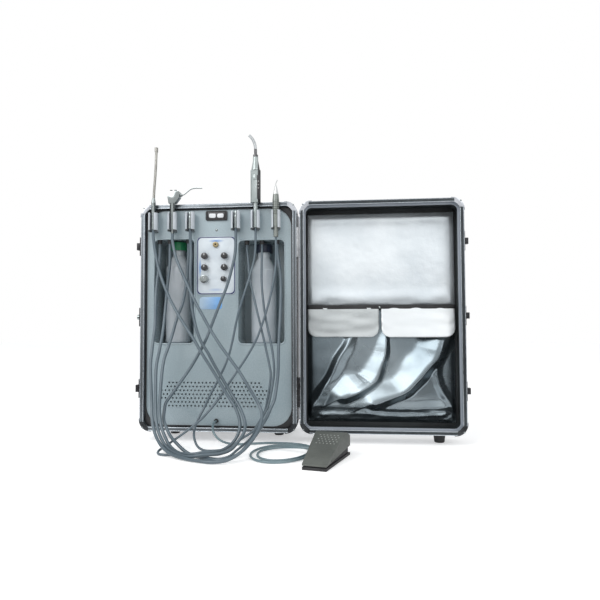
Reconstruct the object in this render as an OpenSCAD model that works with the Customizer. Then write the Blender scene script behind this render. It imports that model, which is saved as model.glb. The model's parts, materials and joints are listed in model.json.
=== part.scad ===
// Portable dental unit in an upright aluminium suitcase, lid opened flat to the right.
// X right, Y into the case, Z up; origin on the floor under the middle of the case opening.

/* [Case] */
// Width of each case half
case_w = 425; // [380:1:480]
// Height of each case half
case_h = 608; // [560:1:660]
// Depth of the body half
body_d = 220; // [180:1:260]
// Depth of the lid half
lid_d = 90; // [70:1:120]
// Outer corner radius of the case outline
corner_r = 30; // [20:1:40]
// Height of the rubber feet
foot_h = 26; // [15:1:35]
// Gap between the body and the opened lid
half_gap = 8; // [7:0.5:12]
// Wall of the moulded case shells
shell_wall = 4; // [3:0.5:6]
// Width of the aluminium lip seen from the front
lip_w = 11; // [8:1:16]

/* [Panel] */
// Thickness of the face panel and bay walls
panel_t = 2; // [1.5:0.5:3]
// Distance of the face panel behind the lip
panel_y = 12; // [8:1:20]
// Depth of the two bottle bays
bay_depth = 95; // [85:1:100]
// Diameter of the vent holes
vent_d = 5; // [3:0.5:6]
// Sideways pitch of the vent holes
vent_pitch = 10.2; // [8:0.1:12]

/* [Holders] */
// Outer diameter of the instrument holders
holder_d = 25; // [22:1:30]
// Bore of the instrument holders
holder_bore = 18; // [18:0.5:20]
// Opening in the front of each holder
holder_slot = 12; // [11:0.5:14]

/* [Controls] */
// Diameter of the four air and water knobs
knob_d = 17; // [14:0.5:20]
// Diameter of the pressure knob
pressure_knob_d = 21; // [18:0.5:24]
// Diameter of the scaler power knob
scaler_knob_d = 14; // [12:0.5:17]
// Length of the knobs in front of the plate
knob_len = 14.7; // [10:0.1:18]

/* [Bottles] */
// Diameter of the two bottles
bottle_d = 70; // [60:1:72]
// Wall of the two bottles
bottle_wall = 2.5; // [1.5:0.5:4]

/* [Hoses] */
// Diameter of the four instrument hoses
hose_d = 8; // [6:0.5:9]
// Diameter of the two instrument cords and the pedal hose
cord_d = 6; // [4:0.5:7]
// Sides of the hose section
hose_sides = 8; // [8:1:12]

/* [Pedal] */
// Length of the foot pedal
pedal_len = 165; // [150:1:180]
// Height of the pedal tread at its top
pedal_h = 57; // [50:1:64]

/* [Hidden] */
// Smoothness and the clearances shared by all pieces
$fn = 64;
fit = 0.3;
run_fit = 0.05;
through = 1;
half = 0.5;

// Case halves, edge bands and corner guards
case_z = foot_h + case_h / 2;
base_h = 608;
lift = case_h - base_h;
lid_x = case_w + half_gap;
band_t = 2.5;
lip_t = 3;
band_len = 13;
shell_in = band_t + fit;
ledge_y = panel_y + panel_t;
ledge_t = 4;
ledge_w = 8;
guard_t = 1.3;
guard_gap = 0.1;
guard_len = 34;
guard_leaf = 0.9;
leaf_box = 26;
leaf_centre = 46;
leaf_r = 40.6;

// Space inside the bands and the panel that fills it
inner_w = case_w - 2 * (shell_in + shell_wall);
inner_h = case_h - 2 * (shell_in + shell_wall);
inner_r = corner_r - shell_in - shell_wall;
panel_w = inner_w - 2 * fit;
panel_h = inner_h - 2 * fit;
panel_r = inner_r - fit;

// Feet under the body and the lid
foot_inset = 62.5;
foot_back_inset = 35;
body_foot_x = case_w / 2 - foot_inset;
body_foot_y = [body_d / 2 + 2, body_d - foot_back_inset];
lid_foot_inset = 64;
lid_foot_x = case_w / 2 - lid_foot_inset;
lid_foot_y = 48;
foot_top_r = 16.5;
foot_low_r = 13;

// Two five-knuckle hinges on the seam
hinge_x = case_w / 2 + half_gap / 2;
hinge_y = -1;
hinge_z = [132, 525 + lift];
hinge_len = 78;
knuckles = 5;
knuckle_len = hinge_len / knuckles;
knuckle_gap = 0.15;
knuckle_r = 2.8;
hinge_pin_r = 1.5;
leaf_t = 1;
leaf_w = 22;

// Latches and key lock on the left side
side_x = -case_w / 2;
latch_z = [138, 522 + lift];
lock_z = case_z;
latch_t = 4.5;
latch_plate = [latch_t, 30, 50];
latch_y = 4;
lever_h = 19;
lever_t = 8;
lever_len = 22;
ear_t = 3;
ear_y = 7;
lever_pivot = [side_x - latch_t - 3, 26];
lever_r = 2.6;
lever_pin_r = 1.5;
lock_y = 18;
lock_r = 7;
lock_len = 8.5;
lock_stem_r = 3;
lock_stem = 3;
key_slot = [1.6, 7, 2];
keeper_plate = [2, 22, 50];
keeper_hook = [9, 14, 16];

// Bottle bays in the face panel
left_bay = [-179, 258 + lift, -66, 542 + lift];
right_bay = [53, 257 + lift, 180, 536 + lift];
bay_r = 14;
bay_back = ledge_y + bay_depth;

// Vent holes near the foot of the panel
vent_x = -155;
vent_z = 92;
vent_rows = 7;
vent_row_pitch = 10.3;
vent_cols = 29;
vent_trim = [2, 1, 0, 0, 0, 1, 2];

// Control plate with its knobs, port and valve block
plate_x = [-59, 46];
plate_z = [390 + lift, 546 + lift];
plate_t = 2;
plate_r = 10;
plate_edge = 7;
knob_gap = 0.3;
knob_pos = [[-36, 493 + lift], [18, 493 + lift], [-36, 462 + lift], [18, 462 + lift]];
pressure_pos = [-37, 431 + lift];
scaler_pos = [16, 431 + lift];
port_pos = [-7, 524 + lift];
spindle_r = 2.5;
spindle_y = 0;
spindle_hole = 2.9;
port_r = 7.5;
port_stem = 5;
port_bore = 2.4;
port_y = 4.5;
knob_lip_r = 1.5;
knob_mark = [1.6, 1, 6];
valve_min = [-57, 14, 393 + lift];
valve_size = [101, 42, 150];

// Mains switch above the control plate
switch_x = -5.5;
switch_z = 602.75 + lift;
bezel = [59, 26];
bezel_t = 4;
bezel_rim = 4;
rocker = [48, 18];
rocker_pivot_y = 14;
rocker_t = 7;
rocker_pin_r = 1.5;
rocker_tilt = 8;
switch_back = 34;

// Row of six instrument holders
holder_x = [-175, -122, -73, 51, 104, 159];
holder_y = -10;
holder_z = [559 + lift, 610 + lift];
holder_floor = 6;
holder_hole = [5.2, 5.2, 5.2, 5.2, 5.2, 6.7];
holder_web = 14;
seat_z = 565;

// Glands where the hoses enter the case
gland_r = 6;
gland_len = 12;
gland_hole = 4;
foot_gland = [-5, 53];
foot_gland_y = 8;
left_gland_x = [-166, -138, -86];
right_gland_x = [76, 117, 158];
gland_y = 20;

// Waste and water bottles
waste_pos = [-126, 62];
water_pos = [115, 62];
neck_r = 17;
cap_r = 23;
cap_h = 22;
cap_gap = 0.3;
cap_rib = 0.8;
cap_ribs = 24;
waste_top = 516 + lift;
water_top = 506 + lift;
shoulder_h = 34;
neck_h = 14;
dip_r = 2.5;
dip_len = 190;

// Compressor, fan, tank and power supply behind the panel
motor_pos = [-40, 115, 126];
motor_r = 48;
motor_len = 130;
cylinder_x = [-40, 40];
cylinder_r = 23;
cylinder_h = 78;
motor_base = [100, 60];
fan_x = 84;
fan_r = 45;
fan_hub_r = 12;
fan_hub_t = 12;
fan_blades = 6;
fan_blade = [2, 13, 34];
fan_tilt = 30;
shaft_r = 3;
shaft_len = 76;
tank_gap = 4;
tank_clear = 7;
tank_side = 102.5;
tank_foot = 8;
tank_r = (body_d - lip_t - shell_wall - bay_back) / 2 - tank_clear;
tank_pos = [case_w / 2 - tank_side, bay_back + tank_gap + tank_r];
tank_z = [272 + lift, 512 + lift];
tank_bracket = [30, 20];
tank_bracket_z = [28, 198];
tank_dome = 14;
supply_side = 32.5;
supply_gap = 5;
supply_min = [supply_side - case_w / 2, bay_back + supply_gap, 300 + lift];
supply_size = [120, 120];
inlet_at = [60, 45];
inlet_x = supply_min[0] + inlet_at[0];
inlet_z = supply_min[2] + inlet_at[1];
inlet_size = [30, 24];
inlet_rim = 3;
inlet_len = 50;
inlet_depth = 12;

// Lid liner with its pad, flaps and pocket
liner_t = 2;
liner_y = [18, lid_d - lip_t - shell_wall - fit];
pad_t = 4;
pad_z = [356 + lift, 612 + lift];
flap_z = [273 + lift, 353 + lift];
flap_t = 3;
flap_r = 22;
flap_gap = 3;
pouch_z = [45, 346 + lift];
flap_y = 16;
strip_z = [350 + lift, 362 + lift];
pouch_w = panel_w - 2 * liner_t - 10;
pouch_back = liner_y[1] - liner_t;
pouch_cols = 26;
pouch_rows = 22;

// Foot pedal with its tub, spring and hose gland
pedal_pos = [276, -262, 0];
pedal_turn = -13;
pedal_front_w = 54;
pedal_back_w = 77;
pedal_wall = 3;
pedal_plate_t = 6;
pedal_profile = [[0, 9], [0, 13], [126, 56], [134, pedal_h], [142, pedal_h - 1],
    [pedal_len, 46], [pedal_len, 22]];
pedal_inner = [[pedal_wall, 0], [pedal_wall, 11], [127, 53], [140, 53],
    [pedal_len - pedal_wall, 43], [pedal_len - pedal_wall, 0]];
pedal_tub = [[5, 0], [5, 8], [pedal_len - 5, 19], [pedal_len - 5, 0]];
pedal_tub_in = [[8, pedal_plate_t], [8, 60], [pedal_len - 8, 60], [pedal_len - 8, pedal_plate_t]];
pedal_pivot = [34, 15];
pedal_pin_r = 2.5;
pedal_pin_len = 10;
pedal_ear = [5, 12, 13];
spring_pos = 112;
spring_r = 8;
spring_wire = 1.1;
spring_turns = 6;
spring_top = 44.2;
spring_boss_r = 9.5;
spring_boss_z = [44.5, 50];
pedal_gland = [140, 14];
pedal_gland_r = 5;
pedal_gland_len = 9;
// Suction wand in the first holder
suction_x = -174;
suction_profile = [[0, 0], [6, 0], [6, 72], [4.6, 81], [3.4, 86], [0, 86]];
suction_grip_z = 565;
suction_tube = [[-173.4, -10, 651], [-172.6, -10, 670], [-170.5, -10, 700], [-168.5, -10, 735],
    [-167.6, -10, 765], [-167.2, -10, 776]];
suction_tube_r = 3.3;
suction_head_r = 4.6;
suction_head = [-167.2, -10, 776];
suction_head_h = 12;

// Air and water syringe in the second holder
syringe_x = -121;
syringe_profile = [[0, 553], [4.5, 553], [4.5, 564.5], [5.25, 565], [5.25, 599], [7.5, 622],
    [7.5, 634], [0, 634]];
syringe_head = [[-130, 634], [-112, 634], [-100, 650], [-100, 664], [-103, 667], [-130, 667],
    [-133, 664], [-133, 652]];
syringe_head_d = 17;
nozzle_r = 1.6;
nozzle_collar_r = 4;
nozzle_pivot = [-100, -10, 656];
button_r = 3.5;
button_z = 667;
air_button_x = -125;
water_button_x = -113;
button_travel = 2.5;
button_proud = 4;
button_depth = 6;
nozzle_route = [[-96, -10, 656], [-90, -10, 658], [-82, -10, 664], [-73, -10, 671], [-64, -10, 674],
    [-52, -10, 674.5], [-40, -10, 674]];

// Plug on a handpiece hose
coupling_profile = [[0, 0], [6.5, 0], [6.5, 30], [5.6, 34], [5.6, 40], [4.4, 45], [2.5, 45], [2.5, 41],
    [0, 41]];

// Curing light in the fifth holder
light_x = 105;
light_stem = [[0, 565], [6, 565], [6, 610], [5.6, 631.5], [0, 631.5]];
light_block = [27, 18, 86];
light_block_z = 631;
light_shoulder = [[0, 717], [12, 717], [7, 744], [7, 753], [0, 753]];
light_collar = [6.6, 753, 6];
light_tube = [[105, -10, 756], [105, -10, 767], [104.5, -10, 778], [102.5, -10, 789], [98.5, -10, 799],
    [93.5, -10, 806], [88, -10, 812]];
light_tube_r = 4;
light_button = [9, 3, 14];
light_button_z = 690;
light_button_travel = 1.5;

// Scaler handpiece in the sixth holder
scaler_x = 159;
scaler_profile = [[0, 539], [6.5, 539], [6.5, 564.8], [7.6, 565], [9, 590], [9, 636], [7.5, 651], [4, 668],
    [2.5, 675], [0, 675]];
scaler_tip = [[159, -10, 675], [159, -10, 679], [160, -10, 683], [162, -10, 687], [163, -10, 690]];
scaler_tip_r = 1.2;

// Centre lines of the hoses, from the instrument to the gland
suction_path = [[-174, -10, 565], [-174, -10, 555], [-174, -10, 545], [-168, -10, 504], [-156, -18, 460],
    [-138, -28, 417], [-117, -38, 376], [-94, -46, 339], [-71, -54, 306], [-47, -62, 274],
    [-21, -70, 235], [2, -76, 203], [26, -82, 168], [50, -88, 132], [68, -97, 110],
    [81, -106, 85], [86, -115, 65], [84, -127, 47], [72, -140, 27], [54, -158, 16],
    [32, -174, 14], [10, -183, 14], [-12, -184, 11], [-47, -169, 9.5], [-75, -149, 19.5],
    [-94, -132, 38], [-109, -117, 60], [-118, -104, 86], [-124, -90, 112], [-128, -56, 206],
    [-119, -44, 249], [-111, -36, 282], [-102, -24, 327], [-91, -10, 369], [-86, 4, 424],
    [-85, 14, 479], [-86, 20, 515], [-86, 20, 522], [-86, 20, 530]];
syringe_path = [[-121, -10, 553], [-121, -10, 543], [-121, -10, 533], [-111, -14, 492], [-95, -24, 459],
    [-72, -36, 415], [-49, -48, 373], [-23, -58, 331], [1, -66, 293], [26, -74, 258],
    [54, -82, 223], [81, -90, 189], [103, -97, 156], [127, -102, 119], [139, -114, 97],
    [141, -134, 77], [134, -160, 55], [121, -186, 35], [101, -209, 18], [76, -226, 8],
    [46, -229, 5], [16, -221, 5], [-20, -205, 5], [-57, -185, 8.5], [-87, -164, 19],
    [-111, -142, 37], [-128, -121, 60], [-138, -104, 86], [-144, -90, 112], [-158, -64, 201],
    [-159, -53, 239], [-159, -43, 272], [-159, -32, 309], [-164, -16, 362], [-167, 0, 416],
    [-166, 14, 472], [-166, 20, 515], [-166, 20, 522], [-166, 20, 530]];
left_hose_path = [[-72, -10, 565], [-72, -10, 555], [-72, -10, 545], [-70, -10, 495], [-69, -18, 441],
    [-64, -28, 387], [-56, -36, 339], [-44, -44, 298], [-29, -50, 264], [-10, -56, 237],
    [10, -62, 204], [32, -70, 172], [57, -80, 136], [79, -95, 109], [92, -110, 90],
    [101, -126, 71], [101, -143, 53], [90, -157, 35], [76, -172, 20], [54, -187, 14],
    [32, -198, 14], [12, -203, 13], [-8, -200, 9], [-28, -190, 7], [-52, -177, 9.5],
    [-81, -157, 19.5], [-103, -137, 38], [-119, -119, 60], [-128, -104, 86], [-134, -90, 112],
    [-145, -60, 193], [-141, -49, 239], [-137, -40, 277], [-136, -28, 316], [-137, -12, 367],
    [-138, 4, 422], [-136, 14, 474], [-138, 20, 515], [-138, 20, 522], [-138, 20, 530]];
right_hose_path = [[52, -10, 565], [52, -10, 555], [52, -10, 545], [50, -10, 498], [41, -13, 453],
    [29, -17, 408], [11, -22, 360], [-5, -27, 316], [-20, -32, 274], [-37, -37, 238],
    [-58, -43, 200], [-83, -50, 162], [-107, -62, 125], [-114, -72, 111], [-114, -84, 91],
    [-110, -97, 73], [-97, -113, 55], [-80, -130, 38], [-60, -148, 27], [-40, -158, 14],
    [-18, -170, 6.5], [6, -185, 4.5], [30, -199, 4.5], [54, -210, 4.5], [78, -208, 7],
    [96, -194, 14], [110, -175, 25], [129, -134, 48], [139, -112, 65], [149, -94, 84],
    [156, -80, 103], [164, -69, 125], [170, -54, 182], [170, -44, 231], [170, -32, 282],
    [171, -18, 333], [171, -5, 390], [168, 8, 440], [161, 17, 486], [158, 20, 510],
    [158, 20, 517], [158, 20, 524]];
light_path = [[105, -10, 565], [105, -10, 556], [105, -10, 548], [103, -10, 492], [92, -12, 444],
    [78, -16, 397], [66, -20, 355], [56, -24, 313], [48, -28, 269], [37, -32, 223],
    [17, -36, 176], [-5, -42, 133], [-21, -50, 96], [-30, -60, 76], [-37, -72, 54],
    [-36, -88, 34], [-24, -104, 14], [-6, -114, 5], [18, -114, 3.5], [42, -101, 4],
    [62, -85, 11], [80, -70, 24], [106, -60, 40], [120, -54, 60], [131, -50, 80],
    [140, -48, 105], [150, -44, 173], [145, -37, 208], [133, -28, 256], [121, -20, 302],
    [102, -7, 371], [87, 6, 427], [80, 15, 482], [76, 20, 510], [76, 20, 517], [76, 20, 524]];
scaler_path = [[159, -10, 539], [159, -10, 530], [159, -10, 520], [159, -10, 473], [153, -14, 420],
    [142, -20, 367], [127, -26, 315], [109, -32, 266], [85, -37, 223], [60, -42, 185],
    [35, -48, 147], [9, -57, 108], [-21, -79, 72], [-52, -97, 46], [-80, -112, 26],
    [-97, -125, 14], [-106, -142, 7.5], [-101, -158, 4], [-83, -165, 3.5], [-60, -162, 3.5],
    [-36, -154, 3.5], [-12, -162, 3.5], [12, -175, 3.5], [36, -189, 3.5], [58, -193, 4],
    [76, -184, 8], [90, -163, 18], [113, -130, 36], [122, -104, 52], [130, -84, 70],
    [140, -69, 90], [148, -61, 111], [159, -47, 181], [155, -38, 231], [147, -29, 269],
    [137, -20, 308], [126, -8, 360], [118, 7, 428], [117, 20, 510], [117, 20, 517], [117, 20, 524]];
foot_path = [[-5, 8, 53], [-5, -1, 53], [-5, -9, 53], [-4, -28, 47], [3, -44, 32], [22, -50, 15],
    [50, -42, 5], [90, -30, 3.5], [134, -16, 3.5], [178, -14, 3.5], [220, -24, 3.5],
    [252, -52, 3.5], [264, -92, 3.5], [258, -136, 3.5], [238, -178, 3.5], [206, -206, 3.5],
    [170, -212, 3.5], [138, -194, 3.5], [120, -158, 3.5], [118, -116, 3.5], [132, -74, 3.5],
    [162, -44, 3.5], [200, -36, 3.5], [234, -54, 3.5], [251, -90, 3.5], [248, -132, 3.5],
    [230, -168, 3.5], [202, -191, 3.5], [172, -195, 3.5], [146, -176, 3.5], [134, -144, 3.5],
    [136, -106, 3.5], [154, -80, 3.5], [180, -76, 6], [206, -90, 10], [228, -105, 13.5],
    [246.6, -111.6, 14], [263.1, -115.4, 14]];

black = [0.09, 0.09, 0.1];
rubber = [0.12, 0.12, 0.13];
silver = [0.78, 0.8, 0.82];
shell_grey = [0.6, 0.64, 0.69];
panel_blue = [0.66, 0.72, 0.78];
plate_pale = [0.86, 0.9, 0.94];
chrome = [0.85, 0.86, 0.88];
brass = [0.75, 0.6, 0.3];
cream = [0.88, 0.88, 0.86];
hose_grey = [0.35, 0.39, 0.43];
pale_hose = [0.55, 0.62, 0.68];
bottle_pale = [0.86, 0.9, 0.92];
green = [0.1, 0.5, 0.3];
navy = [0.1, 0.13, 0.2];
lining = [0.13, 0.14, 0.15];
leather = [0.68, 0.7, 0.72];
pedal_grey = [0.27, 0.27, 0.28];

function unit(v) = v / norm(v);
function ends(p) = concat([2 * p[0] - p[1]], p, [2 * p[len(p) - 1] - p[len(p) - 2]]);
function curve(a, b, c, d, t) =
    ((2 * b) + (c - a) * t + (2 * a - 5 * b + 4 * c - d) * t * t
        + (3 * b - a - 3 * c + d) * t * t * t) / 2;
function rings_of(q) = [for (i = [1 : len(q) - 3], t = [0, half]) curve(q[i - 1], q[i], q[i + 1], q[i + 2], t)];
function lifted(p) = [for (q = p)
    [q[0], q[1], q[2] + lift * min(1, max(0, (q[2] - vent_z) / (seat_z - vent_z)))]];
function route(p) = concat(rings_of(ends(p)), [p[len(p) - 1]]);
function heading(c) = [for (i = [0 : len(c) - 1])
    unit(c[min(i + 1, len(c) - 1)] - c[max(i - 1, 0)])];
function square_to(v, t) = unit(v - (v * t) * t);
function frames(t) = [for (i = 0, u = square_to([0.3, 1, 0.2], t[0]); i < len(t);
    i = i + 1, u = i < len(t) ? square_to(u, t[i]) : u) u];
function tube_points(c, t, u, r, n) = [for (i = [0 : len(c) - 1], k = [0 : n - 1])
    c[i] + r * (cos(360 * k / n) * u[i] + sin(360 * k / n) * cross(t[i], u[i]))];
function tube_faces(m, n) = concat(
    [[for (k = [0 : n - 1]) k]],
    [[for (k = [0 : n - 1]) m * n - 1 - k]],
    [for (i = [0 : m - 2], k = [0 : n - 1])
        [i * n + k, (i + 1) * n + k, (i + 1) * n + (k + 1) % n, i * n + (k + 1) % n]]);

module tube(c, r, n) {
    t = heading(c);
    polyhedron(points = tube_points(c, t, frames(t), r, n), faces = tube_faces(len(c), n), convexity = 8);
}

module hose(p, d) {
    tube(route(lifted(p)), d / 2, hose_sides);
}

module rrect(w, h, r) {
    square([w - 2 * r, h], center = true);
    square([w, h - 2 * r], center = true);
    for (x = [-1, 1], y = [-1, 1])
        translate([x * (w / 2 - r), y * (h / 2 - r)])
            circle(r);
}

module box2(b, grow = 0, r = 0) {
    translate([(b[0] + b[2]) / 2, (b[1] + b[3]) / 2])
        rrect(b[2] - b[0] + 2 * grow, b[3] - b[1] + 2 * grow, r + grow);
}

module plate_y(y0, y1) {
    translate([0, y1, 0])
        rotate([90, 0, 0])
            linear_extrude(y1 - y0)
                children();
}

module rod_y(r, y0, y1) {
    translate([0, y1, 0])
        rotate([90, 0, 0])
            cylinder(r = r, h = y1 - y0);
}

module rod_x(r, x0, x1) {
    translate([x0, 0, 0])
        rotate([0, 90, 0])
            cylinder(r = r, h = x1 - x0);
}

module outline(grow = 0) {
    rrect(case_w + 2 * grow, case_h + 2 * grow, corner_r + grow);
}

module half_shell(d) {
    plate_y(lip_t, d - lip_t)
        difference() {
            outline(-shell_in);
            outline(-shell_in - shell_wall);
        }
    plate_y(d - lip_t - shell_wall, d - lip_t)
        outline(-shell_in - half);
    plate_y(ledge_y, ledge_y + ledge_t)
        difference() {
            outline(-shell_in - half);
            outline(-shell_in - shell_wall - ledge_w);
        }
}

module edge_ring(y_lip, y_band) {
    plate_y(y_lip, y_lip + lip_t)
        difference() {
            outline();
            outline(-lip_w);
        }
    plate_y(y_band, y_band + band_len)
        difference() {
            outline();
            outline(-band_t);
        }
}

module half_frame(d) {
    edge_ring(0, lip_t);
    edge_ring(d - lip_t, d - lip_t - band_len);
}

module corner_boxes(size) {
    for (x = [-1, 1], z = [-1, 1])
        translate([x * (case_w / 2 + guard_t - size / 2), z * (case_h / 2 + guard_t - size / 2)])
            square(size, center = true);
}

module guard_band() {
    intersection() {
        difference() {
            outline(guard_t);
            outline(guard_gap);
        }
        corner_boxes(guard_len);
    }
}

module guard_leaf_2d() {
    difference() {
        intersection() {
            outline(guard_t);
            corner_boxes(leaf_box);
        }
        for (x = [-1, 1], z = [-1, 1])
            translate([x * (case_w / 2 - leaf_centre), z * (case_h / 2 - leaf_centre)])
                circle(leaf_r);
    }
}

module half_corners(d) {
    plate_y(-guard_leaf, guard_len)
        guard_band();
    plate_y(d - guard_len, d + guard_leaf)
        guard_band();
    plate_y(-guard_leaf, 0)
        guard_leaf_2d();
    plate_y(d, d + guard_leaf)
        guard_leaf_2d();
}

module at_body() {
    translate([0, 0, case_z])
        children();
}

module at_lid() {
    translate([lid_x, 0, case_z])
        children();
}

module body_shell() {
    color(shell_grey)
        difference() {
            at_body()
                half_shell(body_d);
            translate([inlet_x - inlet_size[0] / 2 - fit, body_d / 2, inlet_z - inlet_size[1] / 2 - fit])
                cube([inlet_size[0] + 2 * fit, body_d, inlet_size[1] + 2 * fit]);
        }
}

module body_edge_frame() {
    color(silver)
        at_body()
            half_frame(body_d);
}

module body_corners() {
    color(black)
        at_body()
            half_corners(body_d);
}

module body_feet() {
    color(rubber)
        for (x = [-1, 1], y = body_foot_y)
            translate([x * body_foot_x, y, 0])
                cylinder(r1 = foot_low_r, r2 = foot_top_r, h = foot_h + shell_in);
}

module lid_shell() {
    color(shell_grey)
        at_lid()
            half_shell(lid_d);
}

module lid_edge_frame() {
    color(silver)
        at_lid()
            half_frame(lid_d);
}

module lid_corners() {
    color(black)
        at_lid()
            half_corners(lid_d);
}

module lid_feet() {
    color(rubber)
        for (x = [-1, 1])
            translate([lid_x + x * lid_foot_x, lid_foot_y, 0])
                cylinder(r1 = foot_low_r, r2 = foot_top_r, h = foot_h + shell_in);
}

module at_knuckles(first) {
    for (z = hinge_z, i = [first : 2 : knuckles - 1])
        translate([hinge_x, hinge_y, z - hinge_len / 2 + i * knuckle_len + knuckle_gap])
            children();
}

module knuckle(web_x) {
    cylinder(r = knuckle_r, h = knuckle_len - 2 * knuckle_gap);
    translate([min(web_x, 0), -half, 0])
        cube([abs(web_x), 2, knuckle_len - 2 * knuckle_gap]);
}

module hinge_leaf(x) {
    for (z = hinge_z)
        translate([x, hinge_y - half, z - hinge_len / 2])
            cube([leaf_t, leaf_w, hinge_len]);
}

module hinge_leaves_body() {
    color(silver) {
        hinge_leaf(case_w / 2);
        at_knuckles(0)
            knuckle(leaf_t / 2 - half_gap / 2);
        for (z = hinge_z)
            translate([hinge_x, hinge_y, z - hinge_len / 2 + knuckle_gap])
                cylinder(r = hinge_pin_r, h = hinge_len - 2 * knuckle_gap);
    }
}

module hinge_leaves_lid() {
    color(silver) {
        hinge_leaf(case_w / 2 + half_gap - leaf_t);
        at_knuckles(1)
            difference() {
                knuckle(half_gap / 2 - leaf_t / 2);
                translate([0, 0, -through])
                    cylinder(r = hinge_pin_r + run_fit, h = knuckle_len + 2 * through);
            }
    }
}

module latch_bases() {
    color(black) {
        for (z = latch_z) {
            translate([side_x - latch_t, latch_y, z - latch_plate[2] / 2])
                cube(latch_plate);
            for (s = [-1, 1])
                difference() {
                    translate([side_x - latch_t - 2 * lever_r - half, lever_pivot[1] - ear_y / 2,
                            z + s * (lever_h / 2 + run_fit + ear_t / 2) - ear_t / 2])
                        cube([2 * lever_r + 1, ear_y, ear_t]);
                    translate([lever_pivot[0], lever_pivot[1], z - lever_h])
                        cylinder(r = lever_pin_r + run_fit, h = 2 * lever_h);
                }
        }
        difference() {
            translate([side_x - latch_t, latch_y, lock_z - latch_plate[2] / 2])
                cube(latch_plate);
            translate([0, lock_y, lock_z])
                rod_x(lock_stem_r + run_fit, side_x - latch_t - through, side_x - latch_t + lock_stem + run_fit);
        }
    }
}

module latch_lever(z) {
    color(black)
        translate([lever_pivot[0], lever_pivot[1], z]) {
            translate([0, 0, -lever_h / 2])
                cylinder(r = lever_r, h = lever_h);
            translate([-lever_t + lever_r, -lever_len, -lever_h / 2])
                cube([lever_t, lever_len, lever_h]);
            translate([0, 0, -lever_h / 2 - ear_t])
                cylinder(r = lever_pin_r, h = lever_h + 2 * ear_t);
        }
}

module upper_latch_lever() {
    latch_lever(latch_z[1]);
}

module lower_latch_lever() {
    latch_lever(latch_z[0]);
}

module key_lock() {
    color(chrome)
        difference() {
            translate([0, lock_y, lock_z]) {
                rod_x(lock_r, side_x - latch_t - knob_gap - lock_len, side_x - latch_t - knob_gap);
                rod_x(lock_stem_r, side_x - latch_t - 1, side_x - latch_t + lock_stem);
            }
            translate([side_x - latch_t - knob_gap - lock_len - 1, lock_y - key_slot[0] / 2, lock_z - key_slot[1] / 2])
                cube([key_slot[2] + 1, key_slot[0], key_slot[1]]);
        }
}

module latch_keepers() {
    color(black)
        for (z = [latch_z[0], lock_z, latch_z[1]])
            translate([lid_x + case_w / 2, latch_y, z]) {
                translate([0, 0, -keeper_plate[2] / 2])
                    cube(keeper_plate);
                translate([keeper_plate[0] / 2, 0, -keeper_hook[2] / 2])
                    cube(keeper_hook);
            }
}

module vent_holes() {
    for (j = [0 : vent_rows - 1], i = [vent_trim[j] : vent_cols - 1 - vent_trim[j] - j % 2])
        translate([vent_x + (i + (j % 2) / 2) * vent_pitch, vent_z + j * vent_row_pitch])
            circle(d = vent_d, $fn = 8);
}

module bay_tub(b) {
    plate_y(ledge_y - half, bay_back)
        difference() {
            box2(b, panel_t, bay_r);
            box2(b, 0, bay_r);
        }
    plate_y(bay_back - panel_t, bay_back)
        box2(b, panel_t / 2, bay_r);
}

module face_panel() {
    color(panel_blue) {
        plate_y(panel_y, ledge_y)
            difference() {
                translate([0, case_z])
                    rrect(panel_w, panel_h, panel_r);
                box2(left_bay, 0, bay_r);
                box2(right_bay, 0, bay_r);
                vent_holes();
                box2([plate_x[0] + plate_edge, plate_z[0] + plate_edge,
                    plate_x[1] - plate_edge, plate_z[1] - plate_edge], 0, 1);
                translate([switch_x, switch_z])
                    square([bezel[0] - 2 * bezel_rim + 3, bezel[1] - 2 * bezel_rim + 3], center = true);
                translate(foot_gland)
                    circle(gland_hole);
            }
        bay_tub(left_bay);
        bay_tub(right_bay);
    }
}

module control_plate() {
    color(plate_pale)
        plate_y(panel_y - plate_t, panel_y)
            difference() {
                box2([plate_x[0], plate_z[0], plate_x[1], plate_z[1]], 0, plate_r);
                for (k = concat(knob_pos, [pressure_pos, scaler_pos]))
                    translate(k)
                        circle(spindle_hole);
                translate(port_pos)
                    circle(port_stem + fit);
            }
}

module instrument_holders() {
    color(cream)
        for (i = [0 : len(holder_x) - 1])
            translate([holder_x[i], holder_y, holder_z[0]])
                difference() {
                    union() {
                        cylinder(d = holder_d, h = holder_z[1] - holder_z[0]);
                        translate([-holder_web / 2, 0, 0])
                            cube([holder_web, panel_y - holder_y, holder_z[1] - holder_z[0]]);
                    }
                    translate([0, 0, holder_floor])
                        cylinder(d = holder_bore, h = holder_z[1] - holder_z[0]);
                    translate([0, 0, -through])
                        cylinder(r = holder_hole[i], h = holder_z[1] - holder_z[0]);
                    translate([-holder_slot / 2, -holder_d, -through])
                        cube([holder_slot, holder_d, holder_z[1] - holder_z[0] + 2 * through]);
                }
}

module switch_bezel() {
    color(cream)
        translate([switch_x, 0, switch_z])
            difference() {
                union() {
                    plate_y(panel_y - bezel_t, panel_y)
                        rrect(bezel[0], bezel[1], bezel_rim);
                    plate_y(panel_y - half, switch_back)
                        square([bezel[0] - 2 * bezel_rim + 2, bezel[1] - 2 * bezel_rim + 2], center = true);
                }
                plate_y(0, switch_back - panel_t)
                    square([rocker[0] + 2 * fit, rocker[1] + 2 * fit], center = true);
                translate([0, rocker_pivot_y, -bezel[1]])
                    cylinder(r = rocker_pin_r + run_fit, h = 2 * bezel[1]);
            }
}

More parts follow.
